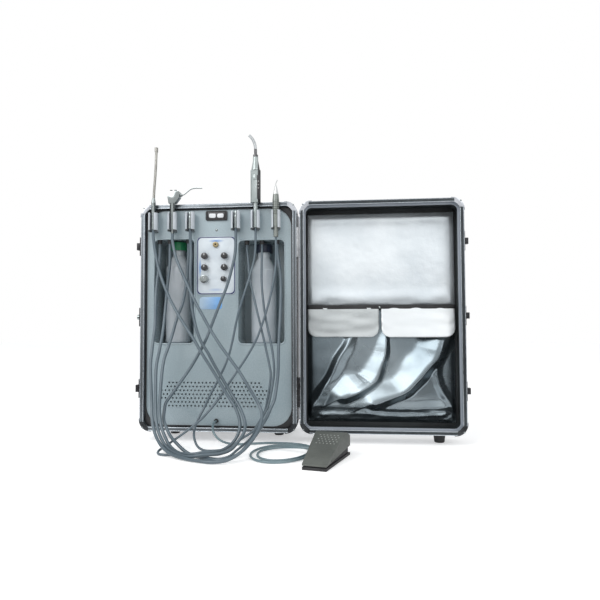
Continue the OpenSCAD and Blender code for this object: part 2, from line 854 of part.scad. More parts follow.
module power_rocker() {
    color(cream)
        translate([switch_x, rocker_pivot_y, switch_z - rocker[1] / 2]) {
            intersection() {
                linear_extrude(rocker[1])
                    polygon([[-rocker[0] / 2, -rocker_t], [0, -rocker_t + 2], [rocker[0] / 2, -rocker_t],
                        [rocker[0] / 2 - 2, 2], [0, 4], [2 - rocker[0] / 2, 2]]);
                cylinder(r = rocker[0] / 2, h = rocker[1]);
            }
            translate([0, 0, -1.5])
                cylinder(r = rocker_pin_r, h = rocker[1] + 3);
        }
}

module valve_block() {
    color(brass) {
        translate(valve_min)
            cube(valve_size);
        for (k = concat(knob_pos, [pressure_pos, scaler_pos]))
            translate([k[0], 0, k[1]])
                rod_y(spindle_r, spindle_y, valve_min[1] + half);
        difference() {
            translate([port_pos[0], 0, port_pos[1]]) {
                rod_y(port_r, port_y, panel_y - plate_t - fit);
                rod_y(port_stem, port_y + half, valve_min[1] + half);
            }
            translate([port_pos[0], 0, port_pos[1]])
                rod_y(port_bore, port_y - through, valve_min[1]);
        }
    }
}

module knob(pos, d, tone) {
    y1 = panel_y - plate_t - knob_gap;
    color(tone)
        difference() {
            translate([pos[0], 0, pos[1]]) {
                rod_y(d / 2, y1 - knob_len + knob_lip_r, y1);
                rod_y(d / 2 - knob_lip_r, y1 - knob_len, y1);
            }
            translate([pos[0], 0, pos[1]])
                rod_y(spindle_r + run_fit, spindle_y - fit, y1 + through);
            translate([pos[0] - knob_mark[0] / 2, y1 - knob_len - through, pos[1] + 1])
                cube([knob_mark[0], knob_mark[1] + half, knob_mark[2]]);
        }
}

module left_air_knob() {
    knob(knob_pos[0], knob_d, black);
}

module right_air_knob() {
    knob(knob_pos[1], knob_d, black);
}

module left_water_knob() {
    knob(knob_pos[2], knob_d, black);
}

module right_water_knob() {
    knob(knob_pos[3], knob_d, black);
}

module pressure_knob() {
    knob(pressure_pos, pressure_knob_d, chrome);
}

module scaler_knob() {
    knob(scaler_pos, scaler_knob_d, black);
}

module raised() {
    translate([0, 0, lift])
        children();
}

module suction_handle() {
    color(chrome)
        translate([suction_x, holder_y, suction_grip_z + lift])
            rotate_extrude()
                polygon(suction_profile);
}

module suction_tip() {
    color(cream) raised() {
        tube(route(suction_tube), suction_tube_r, 12);
        translate(suction_head)
            difference() {
                cylinder(r = suction_head_r, h = suction_head_h);
                translate([0, 0, 2])
                    cylinder(r = suction_head_r - 1.4, h = suction_head_h);
            }
    }
}

module syringe_body() {
    color(chrome) raised()
        difference() {
            union() {
                translate([syringe_x, holder_y, 0])
                    rotate_extrude()
                        polygon(syringe_profile);
                plate_y(holder_y - syringe_head_d / 2, holder_y + syringe_head_d / 2)
                    polygon(syringe_head);
            }
            for (x = [air_button_x, water_button_x])
                translate([x, holder_y, button_z - button_depth])
                    cylinder(r = button_r + run_fit, h = 2 * button_depth);
            translate([nozzle_pivot[0] - 6, holder_y, nozzle_pivot[2]])
                rod_x(nozzle_collar_r - 1 + run_fit, 0, 12);
        }
}

module syringe_nozzle() {
    color(chrome) raised() {
        translate([0, holder_y, nozzle_pivot[2]]) {
            rod_x(nozzle_collar_r - 1, nozzle_pivot[0] - 5.5, nozzle_pivot[0] + 2);
            rod_x(nozzle_collar_r, nozzle_pivot[0] + fit, nozzle_pivot[0] + 5);
        }
        tube(route(nozzle_route), nozzle_r, 8);
    }
}

module syringe_button(x) {
    color(black) raised()
        translate([x, holder_y, button_z - button_depth + button_travel + half])
            cylinder(r = button_r, h = button_depth - button_travel - half + button_proud);
}

module syringe_air_button() {
    syringe_button(air_button_x);
}

module syringe_water_button() {
    syringe_button(water_button_x);
}

module tubing_couplings() {
    color(chrome) raised()
        for (x = [left_hose_path[0][0], right_hose_path[0][0]])
            translate([x, holder_y, seat_z])
                rotate_extrude()
                    polygon(coupling_profile);
}

module curing_light_body() {
    color(cream) raised()
        difference() {
            union() {
                translate([light_x, holder_y, 0]) {
                    rotate_extrude()
                        polygon(light_stem);
                    rotate_extrude()
                        polygon(light_shoulder);
                }
                translate([light_x, holder_y, light_block_z])
                    linear_extrude(light_block[2])
                        rrect(light_block[0], light_block[1], 8);
            }
            translate([light_x - light_button[0] / 2 - run_fit, holder_y - light_block[1], light_button_z - run_fit])
                cube([light_button[0] + 2 * run_fit, light_block[1] / 2 + 4, light_button[2] + 2 * run_fit]);
            translate([light_x, holder_y, light_collar[1] - 4])
                cylinder(r = 4 + run_fit, h = 10);
        }
}

module curing_light_guide() {
    color(rubber) raised() {
        translate([light_x, holder_y, light_collar[1] + fit])
            cylinder(r = light_collar[0], h = light_collar[2] - fit);
        translate([light_x, holder_y, light_collar[1] - 3.5])
            cylinder(r = 4, h = 6);
        tube(route(light_tube), light_tube_r, 12);
    }
}

module curing_light_button() {
    color(rubber) raised()
        translate([light_x - light_button[0] / 2, holder_y - light_block[1] / 2 - 1.5, light_button_z])
            cube([light_button[0], light_button[1], light_button[2]]);
}

module scaler_handpiece() {
    color(cream) raised()
        translate([scaler_x, holder_y, 0])
            rotate_extrude()
                polygon(scaler_profile);
    color(chrome) raised()
        tube(route(scaler_tip), scaler_tip_r, 8);
}

module bottle(pos, z0, z1) {
    r = bottle_d / 2;
    w = bottle_wall;
    color(bottle_pale)
        translate([pos[0], pos[1], 0])
            rotate_extrude()
                polygon([[0, z0], [r - 4, z0], [r, z0 + 4], [r, z1 - neck_h - shoulder_h], [neck_r, z1 - neck_h],
                    [neck_r, z1 + neck_h / 2], [neck_r - w, z1 + neck_h / 2], [neck_r - w, z1 - neck_h - 1],
                    [r - w, z1 - neck_h - shoulder_h - 1], [r - w, z0 + 5], [r - 5, z0 + w], [0, z0 + w]]);
}

module bottle_cap(pos, z1, tone) {
    color(tone)
        translate([pos[0], pos[1], 0]) {
            difference() {
                union() {
                    translate([0, 0, z1])
                        cylinder(r = cap_r, h = cap_h);
                    for (k = [0 : cap_ribs - 1])
                        rotate([0, 0, k * 360 / cap_ribs])
                            translate([cap_r - half, -half, z1 + 2])
                                cube([cap_rib + half, 1, cap_h - 4]);
                }
                translate([0, 0, z1 - through])
                    cylinder(r = neck_r + cap_gap, h = neck_h / 2 + fit + through);
            }
            translate([0, 0, z1 + neck_h / 2 - dip_len])
                cylinder(r = dip_r, h = dip_len + half + fit);
        }
}

module waste_bottle() {
    bottle(waste_pos, left_bay[1], waste_top);
}

module waste_bottle_cap() {
    bottle_cap(waste_pos, waste_top, green);
}

module water_bottle() {
    bottle(water_pos, right_bay[1], water_top);
}

module water_bottle_cap() {
    bottle_cap(water_pos, water_top, navy);
}

module suction_hose() {
    color(hose_grey)
        hose(suction_path, hose_d);
}

module syringe_hose() {
    color(hose_grey)
        hose(syringe_path, hose_d);
}

module left_handpiece_hose() {
    color(hose_grey)
        hose(left_hose_path, hose_d);
}

module right_handpiece_hose() {
    color(hose_grey)
        hose(right_hose_path, hose_d);
}

module curing_light_cord() {
    color(hose_grey)
        hose(light_path, cord_d);
}

module scaler_hose() {
    color(hose_grey)
        hose(scaler_path, cord_d);
}

module foot_hose() {
    color(pale_hose)
        hose(foot_path, cord_d);
}

module gland_row(bay, xs) {
    intersection() {
        for (x = xs)
            translate([x, gland_y, bay[3] - gland_len])
                cylinder(r = gland_r, h = gland_len);
        plate_y(0, bay_back)
            box2(bay, -guard_gap, bay_r);
    }
}

module hose_glands() {
    color(rubber) {
        gland_row(left_bay, left_gland_x);
        gland_row(right_bay, right_gland_x);
        translate([foot_gland[0], 0, foot_gland[1]]) {
            rod_y(gland_r, foot_gland_y, panel_y);
            rod_y(gland_hole - run_fit, foot_gland_y + half, ledge_y + 6);
        }
    }
}

module at_pedal() {
    translate(pedal_pos)
        rotate([0, 0, pedal_turn])
            children();
}

module pedal_plan(inset = 0) {
    polygon([[inset - pedal_front_w / 2, inset], [pedal_front_w / 2 - inset, inset],
        [pedal_back_w / 2 - inset, pedal_len - inset], [inset - pedal_back_w / 2, pedal_len - inset]]);
}

module pedal_side(points) {
    translate([-pedal_back_w, 0, 0])
        rotate([90, 0, 90])
            linear_extrude(2 * pedal_back_w)
                polygon(points);
}

module pedal_solid(points, inset) {
    intersection() {
        linear_extrude(2 * pedal_h)
            pedal_plan(inset);
        pedal_side(points);
    }
}

module pedal_base() {
    color(black)
        at_pedal() {
            linear_extrude(pedal_plate_t)
                pedal_plan();
            difference() {
                pedal_solid(pedal_tub, pedal_wall + 1);
                pedal_solid(pedal_tub_in, pedal_wall + 3);
            }
            for (s = [-1, 1])
                translate([s * (pedal_front_w / 2 - pedal_ear[0] - 3), pedal_pivot[0], 0]) {
                    translate([-pedal_ear[0] / 2, -pedal_ear[1] / 2, pedal_plate_t - half])
                        cube(pedal_ear);
                    translate([0, 0, pedal_pivot[1]])
                        rod_x(pedal_pin_r, min(0, s * pedal_pin_len), max(0, s * pedal_pin_len));
                }
            translate([0, spring_pos, pedal_plate_t - half])
                cylinder(r = spring_r - 2 * spring_wire, h = 8);
            translate([0, pedal_gland[0], pedal_gland[1]])
                rod_x(pedal_gland_r, -pedal_back_w / 2 - pedal_gland_len + 2, -pedal_back_w / 2 + 8);
        }
}

module pedal_tread() {
    color(pedal_grey)
        at_pedal() {
            difference() {
                pedal_solid(pedal_profile, 0);
                pedal_solid(pedal_inner, pedal_wall);
                translate([0, pedal_pivot[0], pedal_pivot[1]])
                    rod_x(pedal_pin_r + run_fit, -pedal_back_w, pedal_back_w);
                translate([-pedal_back_w, pedal_gland[0] - pedal_gland_r - 2, 0])
                    cube([pedal_back_w, 2 * pedal_gland_r + 4, pedal_gland[1] + pedal_gland_r + 12]);
            }
            intersection() {
                translate([0, spring_pos, spring_boss_z[0]])
                    cylinder(r = spring_boss_r, h = spring_boss_z[1] - spring_boss_z[0]);
                pedal_solid(pedal_profile, 1);
            }
        }
}

module pedal_spring() {
    n = spring_turns * 12;
    rise = spring_top - pedal_plate_t - 2 * spring_wire;
    c = [for (i = [0 : n]) [spring_r * cos(i * 30), spring_r * sin(i * 30),
        pedal_plate_t + spring_wire + rise * i / n]];
    color(chrome)
        at_pedal()
            translate([0, spring_pos, 0])
                tube(c, spring_wire, 6);
}

module lid_liner() {
    color(lining)
        at_lid() {
            plate_y(liner_y[0], liner_y[1])
                difference() {
                    rrect(panel_w, panel_h, panel_r);
                    rrect(panel_w - 2 * liner_t, panel_h - 2 * liner_t, panel_r - liner_t);
                }
            plate_y(liner_y[1] - liner_t, liner_y[1])
                rrect(panel_w - half, panel_h - half, panel_r);
        }
}

function fold(x, z, x0, z0, x1, z1, w) =
    let (a = [x1 - x0, z1 - z0], p = [x - x0, z - z0], t = max(0, min(1, (a * p) / (a * a))))
    exp(-pow(norm(p - t * a) / w, 2));
function pouch_depth(x, z) =
    5 + 24 * pow(sin(180 * z), half) * pow(1 - z, 1.2) * pow(sin(180 * x), half)
        + 9 * fold(x, z, 0.12, 0.1, 0.28, 0.6, 0.09) + 8 * fold(x, z, 0.5, 0.15, 0.64, 0.58, 0.1)
        - 3 * fold(x, z, 0.53, 0.35, 0.53, 0.8, 0.05) + 7 * fold(x, z, 0.8, 0.12, 0.9, 0.5, 0.1)
        + 5 * fold(x, z, 0.1, 0.06, 0.9, 0.05, 0.06);

module pouch() {
    n = pouch_cols;
    m = pouch_rows;
    front = [for (j = [0 : m], i = [0 : n])
        [lid_x + pouch_w * (i / n - half), pouch_back - pouch_depth(i / n, j / m),
            pouch_z[0] + (pouch_z[1] - pouch_z[0]) * j / m]];
    rim = concat([for (i = [0 : n - 1]) [i, 0]], [for (j = [0 : m - 1]) [n, j]],
        [for (i = [n : -1 : 1]) [i, m]], [for (j = [m : -1 : 1]) [0, j]]);
    count = len(rim);
    top = (n + 1) * (m + 1);
    back = [for (q = rim) [lid_x + pouch_w * (q[0] / n - half), pouch_back,
        pouch_z[0] + (pouch_z[1] - pouch_z[0]) * q[1] / m]];
    centre = [lid_x, pouch_back - half, (pouch_z[0] + pouch_z[1]) / 2];
    skin = [for (j = [0 : m - 1], i = [0 : n - 1], k = [0, 1])
        let (a = j * (n + 1) + i)
        k == 0 ? [a, a + n + 1, a + n + 2] : [a, a + n + 2, a + 1]];
    edge = [for (k = [0 : count - 1], h = [0, 1])
        let (a = rim[k], b = rim[(k + 1) % count], fa = a[1] * (n + 1) + a[0], fb = b[1] * (n + 1) + b[0])
        h == 0 ? [fa, fb, top + (k + 1) % count] : [fa, top + (k + 1) % count, top + k]];
    fan = [for (k = [0 : count - 1]) [top + k, top + (k + 1) % count, top + count]];
    polyhedron(points = concat(front, back, [centre]), faces = concat(skin, edge, fan), convexity = 6);
}

module flap(x0, x1) {
    plate_y(pouch_back - flap_y - flap_t, pouch_back - flap_y)
        difference() {
            translate([x0, flap_z[0]])
                square([x1 - x0, flap_z[1] - flap_z[0]]);
            for (s = [0, 1])
                translate([s == 0 ? x0 : x1 - flap_r, flap_z[0]])
                    difference() {
                        square(flap_r);
                        translate([(1 - s) * flap_r, flap_r])
                            circle(flap_r);
                    }
        }
}

module lid_pad() {
    color(leather) {
        plate_y(pouch_back - pad_t, pouch_back)
            translate([lid_x, (pad_z[0] + pad_z[1]) / 2])
                rrect(pouch_w, pad_z[1] - pad_z[0], 6);
        flap(lid_x - pouch_w / 2, lid_x - flap_gap);
        flap(lid_x + flap_gap, lid_x + pouch_w / 2);
        plate_y(pouch_back - flap_y, pouch_back - pad_t)
            translate([lid_x - pouch_w / 2, strip_z[0]])
                square([pouch_w, strip_z[1] - strip_z[0]]);
    }
}

module lid_pouch() {
    color(leather)
        pouch();
}

module compressor() {
    color(shell_grey)
        translate(motor_pos) {
            rod_x(motor_r, -motor_len / 2, motor_len / 2);
            for (x = cylinder_x)
                translate([x, 0, 0])
                    cylinder(r = cylinder_r, h = cylinder_h);
            translate([-motor_base[0] / 2, -motor_base[1] / 2, shell_in + shell_wall + foot_h - motor_pos[2]])
                cube([motor_base[0], motor_base[1], motor_pos[2] - foot_h - shell_in - shell_wall]);
            rod_x(shaft_r, motor_len / 2 - half, motor_len / 2 + shaft_len);
        }
}

module air_tank() {
    color(silver)
        translate([tank_pos[0], tank_pos[1], 0]) {
            translate([0, 0, tank_z[0]])
                cylinder(r = tank_r, h = tank_z[1] - tank_z[0]);
            translate([0, 0, tank_z[1]])
                cylinder(r1 = tank_r, r2 = tank_r / 2, h = tank_dome);
            translate([0, 0, tank_z[0] - tank_dome])
                cylinder(r1 = tank_r / 2, r2 = tank_r, h = tank_dome);
            for (z = tank_bracket_z)
                translate([-tank_bracket[0] / 2, tank_r - tank_foot, tank_z[0] + z])
                    cube([tank_bracket[0], body_d - lip_t - shell_wall - tank_pos[1] - tank_r + tank_foot,
                        tank_bracket[1]]);
        }
}

module cooling_fan() {
    color(black)
        translate([fan_x, motor_pos[1], motor_pos[2]])
            difference() {
                union() {
                    rod_x(fan_hub_r, -fan_hub_t / 2, fan_hub_t / 2);
                    for (k = [0 : fan_blades - 1])
                        rotate([k * 360 / fan_blades, 0, 0])
                            translate([0, 0, fan_hub_r - 1])
                                rotate([0, 0, fan_tilt])
                                    translate([-fan_blade[0] / 2, -fan_blade[1] / 2, 0])
                                        cube(fan_blade);
                }
                rod_x(shaft_r + run_fit, -fan_hub_t, fan_hub_t);
            }
}

module power_supply() {
    color(shell_grey) {
        translate(supply_min)
            cube([supply_size[0], body_d - lip_t - shell_wall - supply_min[1], supply_size[1]]);
        difference() {
            translate([inlet_x - inlet_size[0] / 2, body_d - lip_t - inlet_len, inlet_z - inlet_size[1] / 2])
                cube([inlet_size[0], inlet_len, inlet_size[1]]);
            translate([inlet_x - inlet_size[0] / 2 + inlet_rim, body_d - lip_t - inlet_depth,
                inlet_z - inlet_size[1] / 2 + inlet_rim])
                cube([inlet_size[0] - 2 * inlet_rim, inlet_depth + through, inlet_size[1] - 2 * inlet_rim]);
        }
    }
}

body_shell();
body_edge_frame();
body_corners();
body_feet();
lid_shell();
lid_edge_frame();
lid_corners();
lid_feet();
hinge_leaves_body();
hinge_leaves_lid();
latch_bases();
upper_latch_lever();
lower_latch_lever();
key_lock();
latch_keepers();
face_panel();
control_plate();
instrument_holders();
switch_bezel();
power_rocker();
valve_block();
left_air_knob();
right_air_knob();
left_water_knob();
right_water_knob();
pressure_knob();
scaler_knob();
suction_handle();
suction_tip();
syringe_body();
syringe_nozzle();
syringe_air_button();
syringe_water_button();
tubing_couplings();
curing_light_body();
curing_light_guide();
curing_light_button();
scaler_handpiece();
waste_bottle();
waste_bottle_cap();
water_bottle();
water_bottle_cap();
suction_hose();
syringe_hose();
left_handpiece_hose();
right_handpiece_hose();
curing_light_cord();
scaler_hose();
foot_hose();
hose_glands();
pedal_base();
pedal_tread();
pedal_spring();
lid_liner();
lid_pad();
lid_pouch();
compressor();
air_tank();
cooling_fan();
power_supply();
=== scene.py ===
import bpy
import json
import math
from mathutils import Matrix, Vector, noise

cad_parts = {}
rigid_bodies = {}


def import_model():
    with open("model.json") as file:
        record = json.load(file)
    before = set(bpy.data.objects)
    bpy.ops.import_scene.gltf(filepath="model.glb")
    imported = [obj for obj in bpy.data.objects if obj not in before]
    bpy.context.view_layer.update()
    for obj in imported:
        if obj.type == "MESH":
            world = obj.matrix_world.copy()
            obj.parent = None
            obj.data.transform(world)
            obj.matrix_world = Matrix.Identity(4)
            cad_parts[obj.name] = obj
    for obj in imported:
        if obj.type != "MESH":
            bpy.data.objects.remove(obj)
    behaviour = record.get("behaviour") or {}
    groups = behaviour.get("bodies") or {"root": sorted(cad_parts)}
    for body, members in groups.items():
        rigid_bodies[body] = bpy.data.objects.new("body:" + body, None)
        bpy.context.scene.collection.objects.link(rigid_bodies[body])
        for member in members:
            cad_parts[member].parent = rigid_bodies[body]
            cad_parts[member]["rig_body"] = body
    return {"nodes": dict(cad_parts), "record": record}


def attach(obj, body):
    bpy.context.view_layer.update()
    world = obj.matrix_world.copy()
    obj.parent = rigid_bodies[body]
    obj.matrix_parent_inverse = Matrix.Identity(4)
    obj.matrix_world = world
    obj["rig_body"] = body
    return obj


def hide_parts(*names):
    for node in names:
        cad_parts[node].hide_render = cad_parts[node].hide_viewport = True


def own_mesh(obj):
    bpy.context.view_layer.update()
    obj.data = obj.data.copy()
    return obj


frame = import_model()
bpy.context.scene.view_settings.view_transform = "Standard"
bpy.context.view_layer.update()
mm = 0.001


# small helpers; lengths are given in mm, and mm turns them into metres

def inMetres(place):
    return tuple(c * mm for c in place)


def selectOnly(piece):
    bpy.ops.object.select_all(action="DESELECT")
    piece.select_set(True)
    bpy.context.view_layer.objects.active = piece


def startEdit(piece):
    selectOnly(piece)
    bpy.ops.object.mode_set(mode="EDIT")
    bpy.ops.mesh.select_all(action="SELECT")


def endEdit():
    bpy.ops.object.mode_set(mode="OBJECT")


def addObject(name, data):
    piece = bpy.data.objects.new(name, data)
    bpy.context.scene.collection.objects.link(piece)
    return piece


def newMesh(name, points, faces, smooth=True):
    mesh = bpy.data.meshes.new(name)
    mesh.from_pydata([inMetres(p) for p in points], [], faces)
    mesh.update()
    for poly in mesh.polygons:
        poly.use_smooth = smooth
    return addObject(name, mesh)


def takeName(name):
    piece = bpy.context.active_object
    piece.name = name
    piece.data.name = name
    return piece


def applyPlace(piece):
    selectOnly(piece)
    bpy.ops.object.transform_apply(location=True, rotation=True, scale=True)


def applyModifiers(piece):
    selectOnly(piece)
    for modifier in list(piece.modifiers):
        bpy.ops.object.modifier_apply(modifier=modifier.name)


def bevelEdges(piece, width, segments=3):
    modifier = piece.modifiers.new("roundedEdges", "BEVEL")
    modifier.width = width * mm
    modifier.segments = segments
    modifier.limit_method = "ANGLE"
    modifier.angle_limit = math.radians(35)
    applyModifiers(piece)


def smoothByAngle(piece, degrees):
    selectOnly(piece)
    bpy.ops.object.shade_smooth_by_angle(angle=math.radians(degrees))


def joinPieces(pieces, name):
    selectOnly(pieces[0])
    for piece in pieces:
        piece.select_set(True)
    if len(pieces) > 1:
        bpy.ops.object.join()
    return takeName(name)


def outwardFaces(piece):
    startEdit(piece)
    bpy.ops.mesh.remove_doubles(threshold=0.02 * mm)
    bpy.ops.mesh.normals_make_consistent(inside=False)
    endEdit()


def finishPiece(piece, body, slotName, material, stands=()):
    piece.data.materials.clear()
    piece.data.materials.append(material)
    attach(piece, body)
    if stands:
        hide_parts(*stands)
    return piece


def smoothPath(points, steps):
    ends = [[2 * a - b for a, b in zip(points[0], points[1])]]
    tail = [[2 * a - b for a, b in zip(points[-1], points[-2])]]
    q = ends + points + tail
    path = []
    for i in range(1, len(q) - 2):
        for k in range(steps):
            t = k / steps
            path.append([(2 * b + (c - a) * t + (2 * a - 5 * b + 4 * c - d) * t * t
                          + (3 * b - a - 3 * c + d) * t ** 3) / 2
                         for a, b, c, d in zip(q[i - 1], q[i], q[i + 1], q[i + 2])])
    path.append(points[-1])
    return path


def tubeCurve(name, path, radius, rings, closed):
    curve = bpy.data.curves.new(name, "CURVE")
    curve.dimensions = "3D"
    curve.bevel_depth = radius * mm
    curve.bevel_resolution = rings
    curve.use_fill_caps = not closed
    line = curve.splines.new("POLY")
    line.points.add(len(path) - 1)
    for point, place in zip(line.points, path):
        point.co = (*inMetres(place), 1)
    line.use_cyclic_u = closed
    line.use_smooth = True
    return addObject(name, curve)


# camera, as fitted to the photo; angles in degrees

cameraPlace = {"place": (365.1, -1430.9, 309.0), "yaw": 5.741, "pitch": 2.537, "roll": -0.201,
               "lens": 32.92, "sensor": 36}


def makeCamera(s):
    yaw, pitch, roll = (math.radians(s[k]) for k in ("yaw", "pitch", "roll"))
    ahead = Vector((-math.sin(yaw) * math.cos(pitch), math.cos(yaw) * math.cos(pitch), math.sin(pitch)))
    right = Vector((math.cos(yaw), math.sin(yaw), 0))
    up = right.cross(ahead)
    side = math.cos(roll) * right + math.sin(roll) * up
    top = math.cos(roll) * up - math.sin(roll) * right
    data = bpy.data.cameras.new("photoView")
    data.lens = s["lens"]
    data.sensor_width = s["sensor"]
    cam = addObject("photoView", data)
    turn = Matrix((side, top, -ahead)).transposed()
    cam.matrix_world = Matrix.Translation(Vector(s["place"]) * mm) @ turn.to_4x4()
    bpy.context.scene.camera = cam


makeCamera(cameraPlace)
print("camera placed")


# finishes: each reads Object coordinates, with broad patches in its colour and a fine grain on top

def feed(tree, socket, value):
    if isinstance(value, bpy.types.NodeSocket):
        tree.links.new(value, socket)
    else:
        socket.default_value = value


def addNode(tree, kind, inputs):
    node = tree.nodes.new(kind)
    for key, value in inputs.items():
        feed(tree, node.inputs[key], value)
    return node


def mathOf(tree, operation, first, second):
    node = tree.nodes.new("ShaderNodeMath")
    node.operation = operation
    feed(tree, node.inputs[0], first)
    feed(tree, node.inputs[1], second)
    return node.outputs[0]


def newFinish(name):
    material = bpy.data.materials.new(name)
    material.use_nodes = True
    tree = material.node_tree
    return material, tree, tree.nodes.new("ShaderNodeTexCoord").outputs["Object"]


def setShader(tree, inputs):
    shader = tree.nodes["Principled BSDF"]
    for key, value in inputs.items():
        feed(tree, shader.inputs[key], value)
    return shader


def noiseAt(tree, place, scale, detail=3.0, stretch=None):
    if stretch:
        place = addNode(tree, "ShaderNodeMapping", {"Scale": stretch, "Vector": place}).outputs["Vector"]
    texture = addNode(tree, "ShaderNodeTexNoise", {"Scale": scale, "Detail": detail, "Vector": place})
    return texture.outputs["Fac"]


def rampBetween(tree, factor, dark, light, low=0.35, high=0.65):
    ramp = addNode(tree, "ShaderNodeValToRGB", {"Fac": factor})
    for element, position, colour in zip(ramp.color_ramp.elements, (low, high), (dark, light)):
        element.position = position
        element.color = (*colour, 1)
    return ramp.outputs["Color"]


def rangeOf(tree, factor, low, high, fromLow=0.3, fromHigh=0.7):
    return addNode(tree, "ShaderNodeMapRange", {
        "From Min": fromLow, "From Max": fromHigh, "To Min": low, "To Max": high,
        "Value": factor}).outputs["Result"]


def stepAt(tree, value, edge, width=0.0004):
    return rangeOf(tree, value, 0.0, 1.0, edge - width, edge + width)


def bumpFrom(tree, height, strength, distance, under=None):
    inputs = {"Strength": strength, "Distance": distance, "Height": height}
    if under:
        inputs["Normal"] = under
    return addNode(tree, "ShaderNodeBump", inputs).outputs["Normal"]


def axisOf(tree, place, axis):
    return addNode(tree, "ShaderNodeSeparateXYZ", {"Vector": place}).outputs[axis]


def mixColours(tree, factor, first, second):
    mix = tree.nodes.new("ShaderNodeMix")
    mix.data_type = "RGBA"
    for socket, value in ((0, factor), (6, first), (7, second)):
        feed(tree, mix.inputs[socket], (*value, 1) if isinstance(value, tuple) else value)
    return mix.outputs[2]


def plainFinish(name, dark, light, metallic=0.0, rough=(0.3, 0.45), patch=9.0, grain=900.0,
                bump=0.15, depth=0.0002, stretch=None, coat=0.0):
    material, tree, place = newFinish(name)
    broad = noiseAt(tree, place, patch, 4.0)
    fine = noiseAt(tree, place, grain, 2.0, stretch)
    setShader(tree, {"Base Color": rampBetween(tree, broad, dark, light), "Metallic": metallic,
                     "Roughness": rangeOf(tree, fine, *rough), "Coat Weight": coat,
                     "Normal": bumpFrom(tree, fine, bump, depth)})
    return material


# two finishes on one piece, parted at a height or a width given in metres; some uses paint light and shade, a
# lit part and a shaded part of one material
def twoToneFinish(name, axis, edge, below, above, metallic=0.0, rough=(0.25, 0.4)):
    material, tree, place = newFinish(name)
    fine = noiseAt(tree, place, 700.0, 2.0)
    broad = noiseAt(tree, place, 30.0)
    step = stepAt(tree, axisOf(tree, place, axis), edge)
    colour = mixColours(tree, step, rampBetween(tree, broad, *below), rampBetween(tree, broad, *above))
    setShader(tree, {"Base Color": colour, "Metallic": metallic, "Roughness": rangeOf(tree, fine, *rough),
                     "Normal": bumpFrom(tree, fine, 0.1, 0.0001)})
    return material


def leatheretteFinish(name, dark, light, rough, creaseScale, creaseDepth, shimmer):
    material, tree, place = newFinish(name)
    broad = noiseAt(tree, place, 5.0, 4.0)
    crease = noiseAt(tree, place, creaseScale, 6.0)
    cells = addNode(tree, "ShaderNodeTexVoronoi", {"Scale": 620.0, "Vector": place})
    coarse = bumpFrom(tree, crease, 0.5, creaseDepth)
    setShader(tree, {"Base Color": rampBetween(tree, broad, dark, light), "Metallic": shimmer,
                     "Roughness": rangeOf(tree, crease, *rough),
                     "Normal": bumpFrom(tree, cells.outputs["Distance"], 0.22, 0.0003, coarse)})
    return material


def bottleFinish(name, filled, empty, level):
    material, tree, place = newFinish(name)
    cloudy = noiseAt(tree, place, 14.0, 4.0)
    step = stepAt(tree, axisOf(tree, place, "Z"), level, 0.002)
    colour = mixColours(tree, step, rampBetween(tree, cloudy, *filled), rampBetween(tree, cloudy, *empty))
    setShader(tree, {"Base Color": colour, "Roughness": rangeOf(tree, cloudy, 0.1, 0.2),
                     "Transmission Weight": 0.35, "IOR": 1.3, "Coat Weight": 0.7, "Coat Roughness": 0.06,
                     "Normal": bumpFrom(tree, cloudy, 0.1, 0.0004)})
    return material


# pale film with soft tinted spots; each spot is its centre, its half width and height, and its colour
def plateFinish(name, spots):
    material, tree, place = newFinish(name)
    across, height = axisOf(tree, place, "X"), axisOf(tree, place, "Z")
    colour = rampBetween(tree, noiseAt(tree, place, 24.0), (0.58, 0.64, 0.69), (0.68, 0.74, 0.78))
    for x, z, wide, high, tint in spots:
        dx = mathOf(tree, "DIVIDE", mathOf(tree, "SUBTRACT", across, x * mm), wide * mm)
        dz = mathOf(tree, "DIVIDE", mathOf(tree, "SUBTRACT", height, z * mm), high * mm)
        far = tree.nodes.new("ShaderNodeVectorMath")
        far.operation = "LENGTH"
        feed(tree, far.inputs[0], addNode(tree, "ShaderNodeCombineXYZ", {"X": dx, "Y": dz}).outputs[0])
        colour = mixColours(tree, rangeOf(tree, far.outputs["Value"], 0.0, 1.0, 1.0, 0.1), colour, tint)
    fine = noiseAt(tree, place, 1200.0, 2.0)
    setShader(tree, {"Base Color": colour, "Roughness": rangeOf(tree, fine, 0.28, 0.4),
                     "Normal": bumpFrom(tree, fine, 0.08, 0.0001)})
    return material


def labelFinish(name, left, right):
    material, tree, place = newFinish(name)
    blend = rangeOf(tree, axisOf(tree, place, "X"), 0.0, 1.0, left * mm, right * mm)
    fine = noiseAt(tree, place, 1500.0, 2.0)
    setShader(tree, {"Base Color": rampBetween(tree, blend, (0.42, 0.55, 0.68), (0.20, 0.42, 0.76), 0.1, 0.8),
                     "Roughness": rangeOf(tree, fine, 0.2, 0.32),
                     "Normal": bumpFrom(tree, fine, 0.05, 0.0001)})
    return material


shellFinish = plainFinish("mouldedGreyShell", (0.34, 0.38, 0.43), (0.42, 0.46, 0.51), metallic=0.15,
                          rough=(0.38, 0.5), patch=6.0, grain=260.0, bump=0.35, depth=0.0006)
edgeFinish = plainFinish("satinEdgeAluminium", (0.16, 0.185, 0.205), (0.22, 0.245, 0.265), metallic=0.9,
                         rough=(0.30, 0.38), patch=8.0, grain=500.0, bump=0.06, depth=0.0001,
                         stretch=(1.0, 1.0, 0.03))
# painted shade and painted dark reflection: the lid frame is a much darker copy of the body frame's aluminium
lidEdgeFinish = plainFinish("shadedEdgeAluminium", (0.04, 0.05, 0.056), (0.065, 0.078, 0.085), metallic=0.9,
                            rough=(0.30, 0.38), patch=60.0, grain=500.0, bump=0.12, depth=0.0002)
guardFinish = plainFinish("blackCornerSteel", (0.012, 0.012, 0.014), (0.03, 0.03, 0.033), metallic=0.3,
                          rough=(0.3, 0.42), patch=20.0, grain=500.0, bump=0.15, depth=0.0002)
